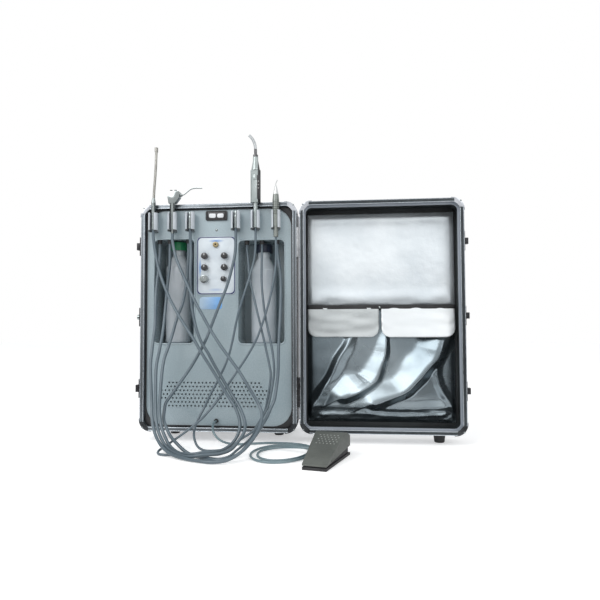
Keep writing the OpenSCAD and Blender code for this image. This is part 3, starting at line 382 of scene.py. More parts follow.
# painted light and shade: the same steel corner guards are silver above 0.33 m as a painted highlight and
# near black below as painted shade
cornerLitTopShadedBottomFinish = twoToneFinish("cornerGuardSteelLitTopShadedBottom", "Z", 0.33, ((0.03, 0.032, 0.035), (0.06, 0.065, 0.07)),
                             ((0.42, 0.44, 0.47), (0.56, 0.58, 0.62)), metallic=0.8, rough=(0.2, 0.32))
# painted shade: each pale holder is dark grey below 0.5632 m, for its underside in shade
holderShadedUndersideFinish = twoToneFinish("holderPlasticShadedUnderside", "Z", 0.5632, ((0.06, 0.065, 0.07), (0.10, 0.105, 0.11)),
                             ((0.50, 0.54, 0.58), (0.60, 0.64, 0.68)), rough=(0.14, 0.22))
rubberFinish = plainFinish("blackFootRubber", (0.014, 0.014, 0.015), (0.03, 0.03, 0.032), rough=(0.6, 0.75),
                           patch=20.0, grain=650.0, bump=0.4, depth=0.0004)
# painted light and shade: the same hinge steel is grey above 0.33 m as painted light and near black below as
# painted shade
hingeLitTopShadedBottomFinish = twoToneFinish("hingeSteel", "Z", 0.33, ((0.02, 0.02, 0.022), (0.04, 0.04, 0.042)),
                            ((0.36, 0.37, 0.39), (0.48, 0.49, 0.5)), metallic=0.6)
panelFinish = plainFinish("paintedFacePanel", (0.31, 0.385, 0.42), (0.37, 0.45, 0.48), rough=(0.22, 0.32),
                          patch=3.5, grain=340.0, bump=0.12, depth=0.0003, coat=0.35)
plateBox = (-59, 390, 46, 546)
plateSpots = ((-6.5, 534.5, 22, 4.5, (0.13, 0.28, 0.62)), (-6.5, 402.5, 24, 5, (0.42, 0.52, 0.68)),
              (-50.5, 463, 4.2, 30, (0.16, 0.34, 0.68)))
plateLook = plateFinish("controlPlateFilm", plateSpots)
brassFinish = plainFinish("machinedBrass", (0.26, 0.21, 0.12), (0.36, 0.30, 0.18), metallic=0.95,
                          rough=(0.26, 0.4), patch=40.0, grain=900.0, bump=0.1, depth=0.0001)
steelFinish = plainFinish("polishedSteel", (0.24, 0.27, 0.27), (0.33, 0.36, 0.36), metallic=0.98,
                          rough=(0.10, 0.18), patch=26.0, grain=700.0, bump=0.04, depth=0.0001)
wasteLook = bottleFinish("wasteBottleShell", ((0.5, 0.55, 0.6), (0.6, 0.65, 0.7)),
                         ((0.55, 0.60, 0.64), (0.66, 0.71, 0.75)), level=0.262)
waterLook = bottleFinish("waterBottleShell", ((0.6, 0.66, 0.72), (0.7, 0.75, 0.8)),
                         ((0.62, 0.68, 0.73), (0.74, 0.79, 0.83)), level=0.262)
hoseFinish = plainFinish("greyHoseVinyl", (0.080, 0.112, 0.136), (0.118, 0.156, 0.182), rough=(0.28, 0.4),
                         patch=12.0, grain=1100.0, bump=0.15, depth=0.0001, coat=0.15)
paleHoseFinish = plainFinish("paleHoseVinyl", (0.15, 0.22, 0.245), (0.21, 0.285, 0.31), rough=(0.28, 0.4),
                             patch=16.0, grain=1100.0, bump=0.15, depth=0.0001, coat=0.2)
liningFinish = plainFinish("darkLidLining", (0.012, 0.015, 0.017), (0.03, 0.036, 0.038), rough=(0.34, 0.5),
                           patch=7.0, grain=420.0, bump=0.4, depth=0.0005)
padFinish = leatheretteFinish("silverLeatherette", (0.66, 0.72, 0.76), (0.86, 0.91, 0.94),
                              rough=(0.30, 0.42), creaseScale=16.0, creaseDepth=0.0035, shimmer=0.85)
# painted shade and painted dark reflection: the pouch cloth is a much darker copy of the silver pad and flap
# cloth
pouchShadedFinish = leatheretteFinish("silverPouchClothPaintedDark", (0.17, 0.21, 0.235), (0.26, 0.305, 0.33),
                                rough=(0.22, 0.30), creaseScale=11.0, creaseDepth=0.0008, shimmer=0.95)
flapFinish = leatheretteFinish("silverFlapCloth", (0.60, 0.64, 0.65), (0.72, 0.76, 0.77), rough=(0.26, 0.34),
                               creaseScale=9.0, creaseDepth=0.0003, shimmer=0.8)
knobFinish = plainFinish("blackKnobPlastic", (0.014, 0.014, 0.016), (0.03, 0.03, 0.034), rough=(0.22, 0.34),
                         patch=30.0, grain=800.0, bump=0.1, depth=0.0001, coat=0.3)
greenFinish = plainFinish("greenCapPlastic", (0.012, 0.16, 0.06), (0.02, 0.24, 0.10), rough=(0.3, 0.42),
                          patch=20.0, grain=700.0, bump=0.1, depth=0.0001)
navyFinish = plainFinish("darkCapPlastic", (0.014, 0.02, 0.04), (0.03, 0.038, 0.06), rough=(0.3, 0.42),
                         patch=20.0, grain=700.0, bump=0.1, depth=0.0001)
pedalFinish = plainFinish("pedalRubber", (0.080, 0.088, 0.080), (0.120, 0.130, 0.118), rough=(0.5, 0.66),
                          patch=14.0, grain=520.0, bump=0.5, depth=0.0005)
# painted light and shade: housing and button are grey silver left of x 0.1125 m and near black right of it,
# the lit and the shaded side of one body
lampLitLeftShadedRightFinish = twoToneFinish("curingLightHousingShadedRight", "X", 0.1125, ((0.30, 0.345, 0.34), (0.40, 0.445, 0.44)),
                           ((0.012, 0.013, 0.014), (0.03, 0.032, 0.033)), metallic=0.35, rough=(0.12, 0.22))
guideFinish = twoToneFinish("lightGuideGlass", "Z", 0.7745, ((0.07, 0.07, 0.075), (0.12, 0.12, 0.125)),
                            ((0.34, 0.36, 0.37), (0.46, 0.48, 0.49)), metallic=0.2, rough=(0.1, 0.2))
scalerFinish = twoToneFinish("scalerBody", "Z", 0.652, ((0.17, 0.19, 0.175), (0.24, 0.26, 0.245)),
                             ((0.5, 0.52, 0.52), (0.66, 0.67, 0.67)), metallic=0.45, rough=(0.25, 0.38))
suctionFinish = plainFinish("suctionTubeSteel", (0.19, 0.185, 0.17), (0.30, 0.295, 0.275), metallic=0.8,
                            rough=(0.24, 0.34), patch=40.0, grain=700.0, bump=0.05, depth=0.0001)
# black of real black parts (switch bezel, keypad, stitches), also used as painted shade on the corner ring,
# the frame grooves and the strip under the pad
blackPartsAndShadeFinish = plainFinish("blackPartsAndPaintedShade", (0.010, 0.010, 0.012), (0.022, 0.022, 0.024), rough=(0.4, 0.55),
                           patch=20.0, grain=600.0, bump=0.2, depth=0.0002)
inkFinish = plainFinish("navyBorderInk", (0.012, 0.02, 0.10), (0.02, 0.035, 0.15), rough=(0.3, 0.4),
                        patch=30.0, grain=900.0, bump=0.05, depth=0.0001)
# painted light: the right flap gets a lighter copy of the flap cloth, for the light its tilt catches
litRightFlapFinish = leatheretteFinish("rightFlapClothPaintedLight", (0.76, 0.80, 0.82), (0.84, 0.87, 0.88),
                                     rough=(0.26, 0.34), creaseScale=9.0, creaseDepth=0.0003, shimmer=0.5)
# painted highlight: the beads along the frames' edges are far lighter than the frame aluminium, for the
# bright lines on those edges
edgeBeadHighlightFinish = plainFinish("edgeBeadPaintedHighlight", (0.50, 0.54, 0.58), (0.62, 0.66, 0.70), metallic=0.9,
                         rough=(0.22, 0.3), patch=500.0, grain=0.06)
dotFinish = plainFinish("wornTreadDots", (0.30, 0.31, 0.30), (0.42, 0.43, 0.42), rough=(0.5, 0.6),
                        patch=500.0, grain=0.06)
markFinish = plainFinish("paleKnobMark", (0.6, 0.62, 0.64), (0.75, 0.77, 0.79), rough=(0.4, 0.5), patch=60.0,
                         grain=900.0, bump=0.05, depth=0.0001)
print("finishes made")


# hoses and cords: the node each stands for, its width, and its route in mm

hoses = {
    "suctionHose": {"node": "suction_hose", "across": 8, "points": [
        [-174, -10, 565], [-174, -10, 555], [-174, -10, 545], [-168, -10, 504], [-156, -18, 460],
        [-138, -28, 417], [-117, -38, 376], [-94, -46, 339], [-71, -54, 306], [-47, -62, 274],
        [-21, -70, 235], [2, -76, 203], [26, -82, 168], [50, -88, 132], [68, -97, 110],
        [81, -106, 85], [86, -115, 65], [84, -127, 47], [72, -140, 27], [54, -158, 16],
        [32, -174, 14], [10, -183, 14], [-12, -184, 11], [-47, -169, 9.5], [-75, -149, 19.5],
        [-94, -132, 38], [-109, -117, 60], [-118, -104, 86], [-124, -90, 112], [-128, -56, 206],
        [-119, -44, 249], [-111, -36, 282], [-102, -24, 327], [-91, -10, 369], [-86, 4, 424],
        [-85, 14, 479], [-86, 20, 515], [-86, 20, 522], [-86, 20, 530]]},
    "syringeHose": {"node": "syringe_hose", "across": 8, "points": [
        [-121, -10, 553], [-121, -10, 543], [-121, -10, 533], [-111, -14, 492], [-95, -24, 459],
        [-72, -36, 415], [-49, -48, 373], [-23, -58, 331], [1, -66, 293], [26, -74, 258],
        [54, -82, 223], [81, -90, 189], [103, -97, 156], [127, -102, 119], [139, -114, 97],
        [141, -134, 77], [134, -160, 55], [121, -186, 35], [101, -209, 18], [76, -226, 8],
        [46, -229, 5], [16, -221, 5], [-20, -205, 5], [-57, -185, 8.5], [-87, -164, 19],
        [-111, -142, 37], [-128, -121, 60], [-138, -104, 86], [-144, -90, 112], [-158, -64, 201],
        [-159, -53, 239], [-159, -43, 272], [-159, -32, 309], [-164, -16, 362], [-167, 0, 416],
        [-166, 14, 472], [-166, 20, 515], [-166, 20, 522], [-166, 20, 530]]},
    "leftHandpieceHose": {"node": "left_handpiece_hose", "across": 8, "points": [
        [-72, -10, 565], [-72, -10, 555], [-72, -10, 545], [-70, -10, 495], [-69, -18, 441],
        [-64, -28, 387], [-56, -36, 339], [-44, -44, 298], [-29, -50, 264], [-10, -56, 237],
        [10, -62, 204], [32, -70, 172], [57, -80, 136], [79, -95, 109], [92, -110, 90],
        [101, -126, 71], [101, -143, 53], [90, -157, 35], [76, -172, 20], [54, -187, 14],
        [32, -198, 14], [12, -203, 13], [-8, -200, 9], [-28, -190, 7], [-52, -177, 9.5],
        [-81, -157, 19.5], [-103, -137, 38], [-119, -119, 60], [-128, -104, 86], [-134, -90, 112],
        [-145, -60, 193], [-141, -49, 239], [-137, -40, 277], [-136, -28, 316], [-137, -12, 367],
        [-138, 4, 422], [-136, 14, 474], [-138, 20, 515], [-138, 20, 522], [-138, 20, 530]]},
    "rightHandpieceHose": {"node": "right_handpiece_hose", "across": 8, "points": [
        [52, -10, 565], [52, -10, 555], [52, -10, 545], [50, -10, 498], [41, -13, 453],
        [29, -17, 408], [11, -22, 360], [-5, -27, 316], [-20, -32, 274], [-37, -37, 238],
        [-58, -43, 200], [-83, -50, 162], [-107, -62, 125], [-114, -72, 111], [-114, -84, 91],
        [-110, -97, 73], [-97, -113, 55], [-80, -130, 38], [-60, -148, 27], [-40, -158, 14],
        [-18, -170, 6.5], [6, -185, 4.5], [30, -199, 4.5], [54, -210, 4.5], [78, -208, 7],
        [96, -194, 14], [110, -175, 25], [129, -134, 48], [139, -112, 65], [149, -94, 84],
        [156, -80, 103], [164, -69, 125], [170, -54, 182], [170, -44, 231], [170, -32, 282],
        [171, -18, 333], [171, -5, 390], [168, 8, 440], [161, 17, 486], [158, 20, 510],
        [158, 20, 517], [158, 20, 524]]},
    "curingLightCord": {"node": "curing_light_cord", "across": 6, "points": [
        [105, -10, 565], [105, -10, 556], [105, -10, 548], [103, -10, 492], [92, -12, 444],
        [78, -16, 397], [66, -20, 355], [56, -24, 313], [48, -28, 269], [37, -32, 223],
        [17, -36, 176], [-5, -42, 133], [-21, -50, 96], [-30, -60, 76], [-37, -72, 54],
        [-36, -88, 34], [-24, -104, 14], [-6, -114, 5], [18, -114, 3.5], [42, -101, 4],
        [62, -85, 11], [80, -70, 24], [106, -60, 40], [120, -54, 60], [131, -50, 80],
        [140, -48, 105], [150, -44, 173], [145, -37, 208], [133, -28, 256], [121, -20, 302],
        [102, -7, 371], [87, 6, 427], [80, 15, 482], [76, 20, 510], [76, 20, 517], [76, 20, 524]]},
    "scalerHose": {"node": "scaler_hose", "across": 6, "points": [
        [159, -10, 539], [159, -10, 530], [159, -10, 520], [159, -10, 473], [153, -14, 420],
        [142, -20, 367], [127, -26, 315], [109, -32, 266], [85, -37, 223], [60, -42, 185],
        [35, -48, 147], [9, -57, 108], [-21, -79, 72], [-52, -97, 46], [-80, -112, 26],
        [-97, -125, 14], [-106, -142, 7.5], [-101, -158, 4], [-83, -165, 3.5], [-60, -162, 3.5],
        [-36, -154, 3.5], [-12, -162, 3.5], [12, -175, 3.5], [36, -189, 3.5], [58, -193, 4],
        [76, -184, 8], [90, -163, 18], [113, -130, 36], [122, -104, 52], [130, -84, 70],
        [140, -69, 90], [148, -61, 111], [159, -47, 181], [155, -38, 231], [147, -29, 269],
        [137, -20, 308], [126, -8, 360], [118, 7, 428], [117, 20, 510], [117, 20, 517], [117, 20, 524]]},
    "footHose": {"node": "foot_hose", "across": 6, "points": [
        [-5, 8, 53], [-5, -1, 53], [-5, -9, 53], [-4, -28, 47], [3, -44, 32], [22, -50, 15],
        [50, -42, 5], [90, -30, 3.5], [134, -16, 3.5], [178, -14, 3.5], [220, -24, 3.5],
        [252, -52, 3.5], [264, -92, 3.5], [258, -136, 3.5], [238, -178, 3.5], [206, -206, 3.5],
        [170, -212, 3.5], [138, -194, 3.5], [120, -158, 3.5], [118, -116, 3.5], [132, -74, 3.5],
        [162, -44, 3.5], [200, -36, 3.5], [234, -54, 3.5], [251, -90, 3.5], [248, -132, 3.5],
        [230, -168, 3.5], [202, -191, 3.5], [172, -195, 3.5], [146, -176, 3.5], [134, -144, 3.5],
        [136, -106, 3.5], [154, -80, 3.5], [180, -76, 6], [206, -90, 10], [228, -105, 13.5],
        [246.6, -111.6, 14], [263.1, -115.4, 14]]},
}


def makeHose(name, s):
    path = smoothPath(s["points"], 4)
    piece = tubeCurve(name, path, s["across"] / 2, 4, closed=False)
    pale = name == "footHose"
    finishPiece(piece, "case", "pale_hose" if pale else "hose", paleHoseFinish if pale else hoseFinish,
                [s["node"]])
    [c * mm for c in s["points"][0]]


for hoseName, hoseSettings in hoses.items():
    makeHose(hoseName, hoseSettings)
print("hoses laid")


# the nodes, each with its finish and the rounding of its edges in mm

nodeFinish = {
    "body_shell": (shellFinish, 0), "lid_shell": (shellFinish, 0),
    "body_edge_frame": (edgeFinish, 0.7), "lid_edge_frame": (lidEdgeFinish, 0.7),
    "body_corners": (cornerLitTopShadedBottomFinish, 0.35), "lid_corners": (cornerLitTopShadedBottomFinish, 0.35),
    "body_feet": (rubberFinish, 2.0), "lid_feet": (rubberFinish, 2.0),
    "hinge_leaves_body": (hingeLitTopShadedBottomFinish, 0.25), "hinge_leaves_lid": (hingeLitTopShadedBottomFinish, 0.25),
    "latch_bases": (guardFinish, 0.8), "upper_latch_lever": (guardFinish, 1.4),
    "lower_latch_lever": (guardFinish, 1.4), "latch_keepers": (guardFinish, 0.7),
    "key_lock": (steelFinish, 0.6), "face_panel": (panelFinish, 0), "control_plate": (plateLook, 0.4),
    "instrument_holders": (holderShadedUndersideFinish, 1.0), "switch_bezel": (blackPartsAndShadeFinish, 0.8),
    "power_rocker": (knobFinish, 1.2), "valve_block": (brassFinish, 0.4),
    "left_air_knob": (knobFinish, 0.6), "right_air_knob": (knobFinish, 0.6),
    "left_water_knob": (knobFinish, 0.6), "right_water_knob": (knobFinish, 0.6),
    "scaler_knob": (knobFinish, 0.6), "pressure_knob": (steelFinish, 0.6),
    "suction_handle": (steelFinish, 0), "suction_tip": (suctionFinish, 0),
    "syringe_body": (steelFinish, 2.0), "syringe_nozzle": (steelFinish, 0),
    "syringe_air_button": (knobFinish, 0.6), "syringe_water_button": (knobFinish, 0.6),
    "tubing_couplings": (steelFinish, 0), "curing_light_body": (lampLitLeftShadedRightFinish, 1.2),
    "curing_light_guide": (guideFinish, 0), "curing_light_button": (lampLitLeftShadedRightFinish, 0.8),
    "scaler_handpiece": (scalerFinish, 0),
    "waste_bottle": (wasteLook, 0), "water_bottle": (waterLook, 0),
    "waste_bottle_cap": (greenFinish, 0.3), "water_bottle_cap": (navyFinish, 0.3),
    "hose_glands": (rubberFinish, 0.8), "pedal_base": (rubberFinish, 0.8),
    "pedal_tread": (pedalFinish, 5.0),
    "lid_liner": (liningFinish, 0), "compressor": (shellFinish, 1.5), "air_tank": (edgeFinish, 1.5),
    "cooling_fan": (knobFinish, 0.3), "power_supply": (shellFinish, 1.5),
}
slotOf = {part["node"]: part["material_slot"] for part in frame["record"]["subparts"]}


def roundedCopy(name, width):
    words = name.split("_")
    newName = words[0] + "".join(word.capitalize() for word in words[1:])
    copy = addObject(newName, frame["nodes"][name].data.copy())
    copy.data.name = newName
    startEdit(copy)
    bpy.ops.mesh.remove_doubles(threshold=0.01 * mm)
    bpy.ops.mesh.dissolve_limited(angle_limit=math.radians(0.6))
    endEdit()
    if width:
        bevelEdges(copy, width)
    smoothByAngle(copy, 30)
    return copy


def paintNodes(finishes):
    for name, (material, width) in finishes.items():
        node = frame["nodes"][name]
        if width:
            finishPiece(roundedCopy(name, width), node["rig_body"], slotOf[name], material, [name])
        else:
            node.data.materials.clear()
            node.data.materials.append(material)


paintNodes(nodeFinish)
print("nodes painted")


# rings, strips and small fittings on the case; a box is left, low, right and high in mm

def ringPoints(box, corner, steps=8):
    left, low, right, high = box
    points = []
    for x, z, first in ((right - corner, high - corner, 0), (left + corner, high - corner, 90),
                        (left + corner, low + corner, 180), (right - corner, low + corner, 270)):
        for k in range(steps + 1):
            turn = math.radians(first + 90 * k / steps)
            points.append((x + corner * math.cos(turn), z + corner * math.sin(turn)))
    return points


# a line is how far it lies inside the box, and the radius of its corners
def linePoints(box, line):
    by, corner = line
    return ringPoints((box[0] + by, box[1] + by, box[2] - by, box[3] - by), corner)


def beadRing(name, box, line, front, radius, material, body, slotName):
    path = [(x, front, z) for x, z in linePoints(box, line)]
    selectOnly(tubeCurve(name, path, radius, 3, closed=True))
    bpy.ops.object.convert(target="MESH")
    piece = takeName(name)
    smoothByAngle(piece, 60)
    return finishPiece(piece, body, slotName, material)


def flatRing(name, box, outer, inner, front, thick, material, body, slotName):
    outside, inside = linePoints(box, outer), linePoints(box, inner)
    n = len(outside)
    points = [(x, y, z) for y in (front, front + thick) for ring in (outside, inside) for x, z in ring]
    faces = []
    for k in range(n):
        m = (k + 1) % n
        faces += [(k, m, n + m, n + k), (2 * n + m, 2 * n + k, 3 * n + k, 3 * n + m),
                  (k, 2 * n + k, 2 * n + m, m), (n + m, 3 * n + m, 3 * n + k, n + k)]
    piece = newMesh(name, points, faces, False)
    outwardFaces(piece)
    bevelEdges(piece, min(0.25, thick / 4), 2)
    smoothByAngle(piece, 40)
    return finishPiece(piece, body, slotName, material)


caseBox = (-212.5, 26, 212.5, 634)
lidBox = (220.5, 26, 645.5, 634)
bays = {"leftBayLip": (-179, 258, -66, 542), "rightBayLip": (53, 257, 180, 536)}
trim = {"outerBead": (1.2, 29), "innerBead": (10, 20), "beadFront": 0.1, "beadRadius": 1.0,
        "grooveOuter": (4.6, 26), "grooveInner": (6.0, 24.6), "grooveFront": -0.05, "grooveThick": 0.3,
        "shadeRingOuter": (10.5, 19), "shadeRingInner": (15, 50), "shadeRingFront": 8.6, "shadeRingThick": 3.0,
        "lipLine": (-0.6, 14.6), "lipFront": 12.2, "lipRadius": 2.4}


def makeTrim(s):
    # painted shade: a black ring behind the panel, whose wide corners show as black triangles in the shaded
    # gaps at the panel's corners
    flatRing("bodyCornerShadeRing", caseBox, s["shadeRingOuter"], s["shadeRingInner"], s["shadeRingFront"], s["shadeRingThick"],
             blackPartsAndShadeFinish, "case", "lining")
    for name, box, body in (("body", caseBox, "case"), ("lid", lidBox, "lid")):
        for bead, line in (("OuterBead", s["outerBead"]), ("InnerBead", s["innerBead"])):
            beadRing(name + bead, box, line, s["beadFront"], s["beadRadius"], edgeBeadHighlightFinish, body, "edge_metal")
        # painted shade: a thin black strip on the frame front where its groove is, for the shade in the
        # groove
        flatRing(name + "EdgeGrooveShade", box, s["grooveOuter"], s["grooveInner"], s["grooveFront"],
                 s["grooveThick"], blackPartsAndShadeFinish, body, "lining")
    for name, box in bays.items():
        beadRing(name, box, s["lipLine"], s["lipFront"], s["lipRadius"], panelFinish, "case", "panel")


makeTrim(trim)
print("case trimmed")


# the front half of a ball, flattened to a height
def domeAt(name, place, radius, height, segments=20):
    bpy.ops.mesh.primitive_uv_sphere_add(segments=segments, ring_count=8, radius=radius * mm,
                                         location=inMetres(place))
    piece = takeName(name)
    piece.scale = (1, height / radius, 1)
    applyPlace(piece)
    startEdit(piece)
    bpy.ops.mesh.bisect(plane_co=(0, place[1] * mm, 0), plane_no=(0, 1, 0), clear_outer=True, use_fill=True)
    endEdit()
    smoothByAngle(piece, 40)
    return piece


guardRivets = {"inset": 8.6, "front": -0.8, "radius": 2.4, "height": 1.0}


def makeRivets(name, box, body, s):
    heads = [domeAt("rivetHead", (x, s["front"], z), s["radius"], s["height"], 16)
             for x in (box[0] + s["inset"], box[2] - s["inset"])
             for z in (box[1] + s["inset"], box[3] - s["inset"])]
    finishPiece(joinPieces(heads, name), body, "edge_metal", steelFinish)


makeRivets("bodyRivets", caseBox, "case", guardRivets)
makeRivets("lidRivets", lidBox, "lid", guardRivets)


# control plate, label, indicator and knob marks

def roundedPlate(name, box, corner, front, back, material, body, slotName, bevel=0.3, lean=0.0):
    points = ringPoints(box, corner, 6)
    n = len(points)
    mesh = newMesh(name, [(x, y + lean * (x - box[0]), z) for y in (front, back) for x, z in points],
                   [tuple(range(n)), tuple(range(2 * n - 1, n - 1, -1))]
                   + [(k, (k + 1) % n, n + (k + 1) % n, n + k) for k in range(n)], False)
    outwardFaces(mesh)
    bevelEdges(mesh, bevel, 2)
    smoothByAngle(mesh, 40)
    return finishPiece(mesh, body, slotName, material)


def smallBox(name, place, size, bevel, segments, turn=0.0):
    bpy.ops.mesh.primitive_cube_add(size=1, location=inMetres(place), rotation=(0, turn, 0))
    piece = takeName(name)
    piece.scale = inMetres(size)
    applyPlace(piece)
    bevelEdges(piece, bevel, segments)
    return piece


flatRing("plateBorder", plateBox, (0.7, 9.6), (3.0, 10.5), 9.7, 0.4, inkFinish, "case", "plate")
labelBox = (-52, 350, 10, 383)
roundedPlate("lowerLabel", labelBox, 8, 11.4, 12.2, labelFinish("blueLabelFilm", labelBox[0], labelBox[2]),
             "case", "plate")
finishPiece(domeAt("indicatorScrew", (-6, 12.2, 564), 3.6, 1.8), "case", "steel", steelFinish)

# each knob's centre, x and z, and its width
knobs = {
    "left_air_knob": (-36, 493, 17), "right_air_knob": (18, 493, 17), "left_water_knob": (-36, 462, 17),
    "right_water_knob": (18, 462, 17), "pressure_knob": (-37, 431, 21), "scaler_knob": (16, 431, 14),
}
knobMark = {"raise": 4, "front": -4.3, "size": (1.3, 1.0, 5.6), "bevel": 0.2}
knobTicks = {"count": 7, "first": 225, "step": 45, "gap": 3.2, "front": 9.92, "size": (2.2, 0.25, 0.5),
             "bevel": 0.06}


def makeKnobMark(name, x, z, s):
    words = name.split("_")
    mark = smallBox(words[0] + words[1].capitalize() + "Mark", (x, s["front"], z + s["raise"]), s["size"],
                    s["bevel"], 2)
    finishPiece(mark, name, "light_plastic", markFinish)


def makeTicks(x, z, across, s):
    far = across / 2 + s["gap"]
    turns = [math.radians(s["first"] - s["step"] * k) for k in range(s["count"])]
    return [smallBox("tick", (x + far * math.cos(turn), s["front"], z + far * math.sin(turn)), s["size"],
                     s["bevel"], 1, -turn) for turn in turns]


allTicks = []
for knobName, (knobX, knobZ, knobAcross) in knobs.items():
    makeKnobMark(knobName, knobX, knobZ, knobMark)
    allTicks += makeTicks(knobX, knobZ, knobAcross, knobTicks)
finishPiece(joinPieces(allTicks, "knobScales"), "case", "plate", inkFinish)

# the rocker's halves slope towards its middle, so each inlay leans with its half
inlays = {"rockerInlayLeft": (-25.5, 6.85, 2 / 24), "rockerInlayRight": (-3.5, 8.55, -2 / 24)}
for inlayName, (inlayLeft, inlayFront, inlayLean) in inlays.items():
    roundedPlate(inlayName, (inlayLeft, 597, inlayLeft + 18, 608.5), 4, inlayFront, inlayFront + 1.2,
                 markFinish, "power_rocker", "light_plastic", 0.25, inlayLean)
print("controls made")


# curing light keypad, and the rings turned into the handpieces

roundedPlate("lightKeypad", (110.2, 638, 117.4, 704), 3.4, -19.3, -15.5, blackPartsAndShadeFinish, "case", "knob", 0.4)
lightKeys = [domeAt("lightKey", (113.8, -19.1, z), 1.6, 0.7, 16) for z in (668, 677, 686)]
finishPiece(joinPieces(lightKeys, "lightKeys"), "case", "light_plastic", dotFinish)
grips = {
    "scalerGripRings": {"across": (159,), "heights": (600, 606, 612, 618, 624, 630), "radius": 8.95,
                        "tube": 0.5, "slot": "light_plastic", "finish": rubberFinish},
    "couplingRings": {"across": (-72, 52), "heights": (572, 576, 580, 592), "radius": 6.45, "tube": 0.45,
                      "slot": "steel", "finish": steelFinish},
    "suctionRings": {"across": (-174,), "heights": (592, 612, 634), "radius": 5.95, "tube": 0.5,
                     "slot": "steel", "finish": steelFinish},
}


def makeGripRings(name, s):
    rings = []
    for x in s["across"]:
        for z in s["heights"]:
            bpy.ops.mesh.primitive_torus_add(location=inMetres((x, -10, z)), major_radius=s["radius"] * mm,
                                             minor_radius=s["tube"] * mm, major_segments=40,
                                             minor_segments=10)
            rings.append(takeName("gripRing"))
            applyPlace(rings[-1])
            smoothByAngle(rings[-1], 60)
    finishPiece(joinPieces(rings, name), "case", s["slot"], s["finish"])


for gripName, gripSettings in grips.items():
    makeGripRings(gripName, gripSettings)
print("instruments detailed")


# lid lining: padded sheet, pocket flaps and crumpled pocket, placed by shares u and v of their sheets

lining = {"x": 433, "width": 396.8, "back": 80.7, "padLow": 356, "padHigh": 612, "flapLow": 274,
          "flapHigh": 353, "flapCorner": 24, "flapOff": 15.6, "pouchLow": 45, "pouchHigh": 347,
          "underFlap": 9.5, "pouchRoom": 34.0, "belly": 16.0, "seed": 7}


def gridSheet(name, cols, rows, place):
    points = [place(i / cols, j / rows) for j in range(rows + 1) for i in range(cols + 1)]
    across = cols + 1
    faces = [(j * across + i, j * across + i + 1, (j + 1) * across + i + 1, (j + 1) * across + i)
             for j in range(rows) for i in range(cols)]
    return newMesh(name, points, faces)


def thicken(piece, thick):
    modifier = piece.modifiers.new("clothThickness", "SOLIDIFY")
    modifier.thickness = thick * mm
    modifier.offset = 1.0
    applyModifiers(piece)


def ramped(value, low, high):
    t = min(1.0, max(0.0, (value - low) / (high - low)))
    return t * t * (3 - 2 * t)


def wrinkle(x, z, scale, seed):
    return noise.noise(Vector((x * scale, z * scale, seed)))


def hump(value, middle, spread):
    return math.exp(-((value - middle) / spread) ** 2)


def padPlace(s):
    def place(u, v):
        x = s["x"] + s["width"] * (u - 0.5)
        z = s["padLow"] + (s["padHigh"] - s["padLow"]) * v
        edge = ramped(min(u, 1 - u), 0.0, 0.03) * ramped(v, 0.0, 0.03) * ramped(1 - v, 0.0, 0.05)
        swell = 2.2 * hump(v, 0.1, 0.07) + 1.6 * hump(v, 0.93, 0.05)
        wave = 0.7 * wrinkle(u, v * 0.5, 3.0, s["seed"]) + 0.12 * wrinkle(u, v, 15.0, s["seed"])
        pull = 1.4 * hump(u, 0.85, 0.12) * hump(v, 0.96, 0.08)
        foot = 0.9 * math.sin(u * 19 + 1.5 * math.sin(u * 7)) * hump(v, 0.05, 0.06)
        return (x, s["back"] - 4.0 - edge * (1.4 + swell + wave + pull + foot), z)
    return place


# a fold's side, straight between a rounded crest and a rounded foot
def foldProfile(t, soft=0.2):
    if t < soft:
        return 1 - soft / 2 - t * t / (2 * soft)
    if t < 1 - soft:
        return 1 - t
    return max(0.0, 1 + soft - t) ** 2 / (4 * soft)


def foldAt(u, v, points, spreadLeft, spreadRight, start):
    nearest, side, grow = 9.0, 1.0, 1.0
    for i, (a, b) in enumerate(zip(points, points[1:])):
        along = (b[0] - a[0], b[1] - a[1])
        size = along[0] ** 2 + along[1] ** 2
        t = max(0.0, min(1.0, ((u - a[0]) * along[0] + (v - a[1]) * along[1]) / size))
        dx, dz = u - a[0] - t * along[0], v - a[1] - t * along[1]
        far = math.hypot(dx, dz)
        if far < nearest:
            nearest = far
            side = along[0] * dz - along[1] * dx
            grow = min(1.0, start + (i + t) / (len(points) - 1))
    return grow * foldProfile(nearest / grow / (spreadLeft if side < 0 else spreadRight))


# each fold is its line in u and v, its spread to either side, its share at the start and its height in mm
pouchFolds = [(smoothPath([list(point) for point in points], 4), *rest) for points, *rest in (
    (((0.31, 0.80), (0.266, 0.655), (0.21, 0.517), (0.105, 0.293), (0.01, 0.09)), 0.05, 0.06, 0.7, 13.0),
    (((0.545, 0.80), (0.53, 0.62), (0.46, 0.38), (0.357, 0.284), (0.25, 0.22)), 0.175, 0.06, 0.25, 28.0),
    (((0.935, 0.80), (0.874, 0.60), (0.804, 0.48), (0.678, 0.293), (0.46, 0.17)), 0.17, 0.06, 0.8, 30.0),
    (((0.98, 0.80), (0.87, 0.42), (0.98, 0.12)), 0.035, 0.04, 1.0, 8.0),
    (((0.04, 0.15), (0.30, 0.14), (0.62, 0.125), (0.94, 0.145)), 0.045, 0.06, 1.0, 5.0),
    (((0.10, 0.065), (0.35, 0.075), (0.60, 0.055), (0.92, 0.075)), 0.03, 0.04, 1.0, 4.0),
)]


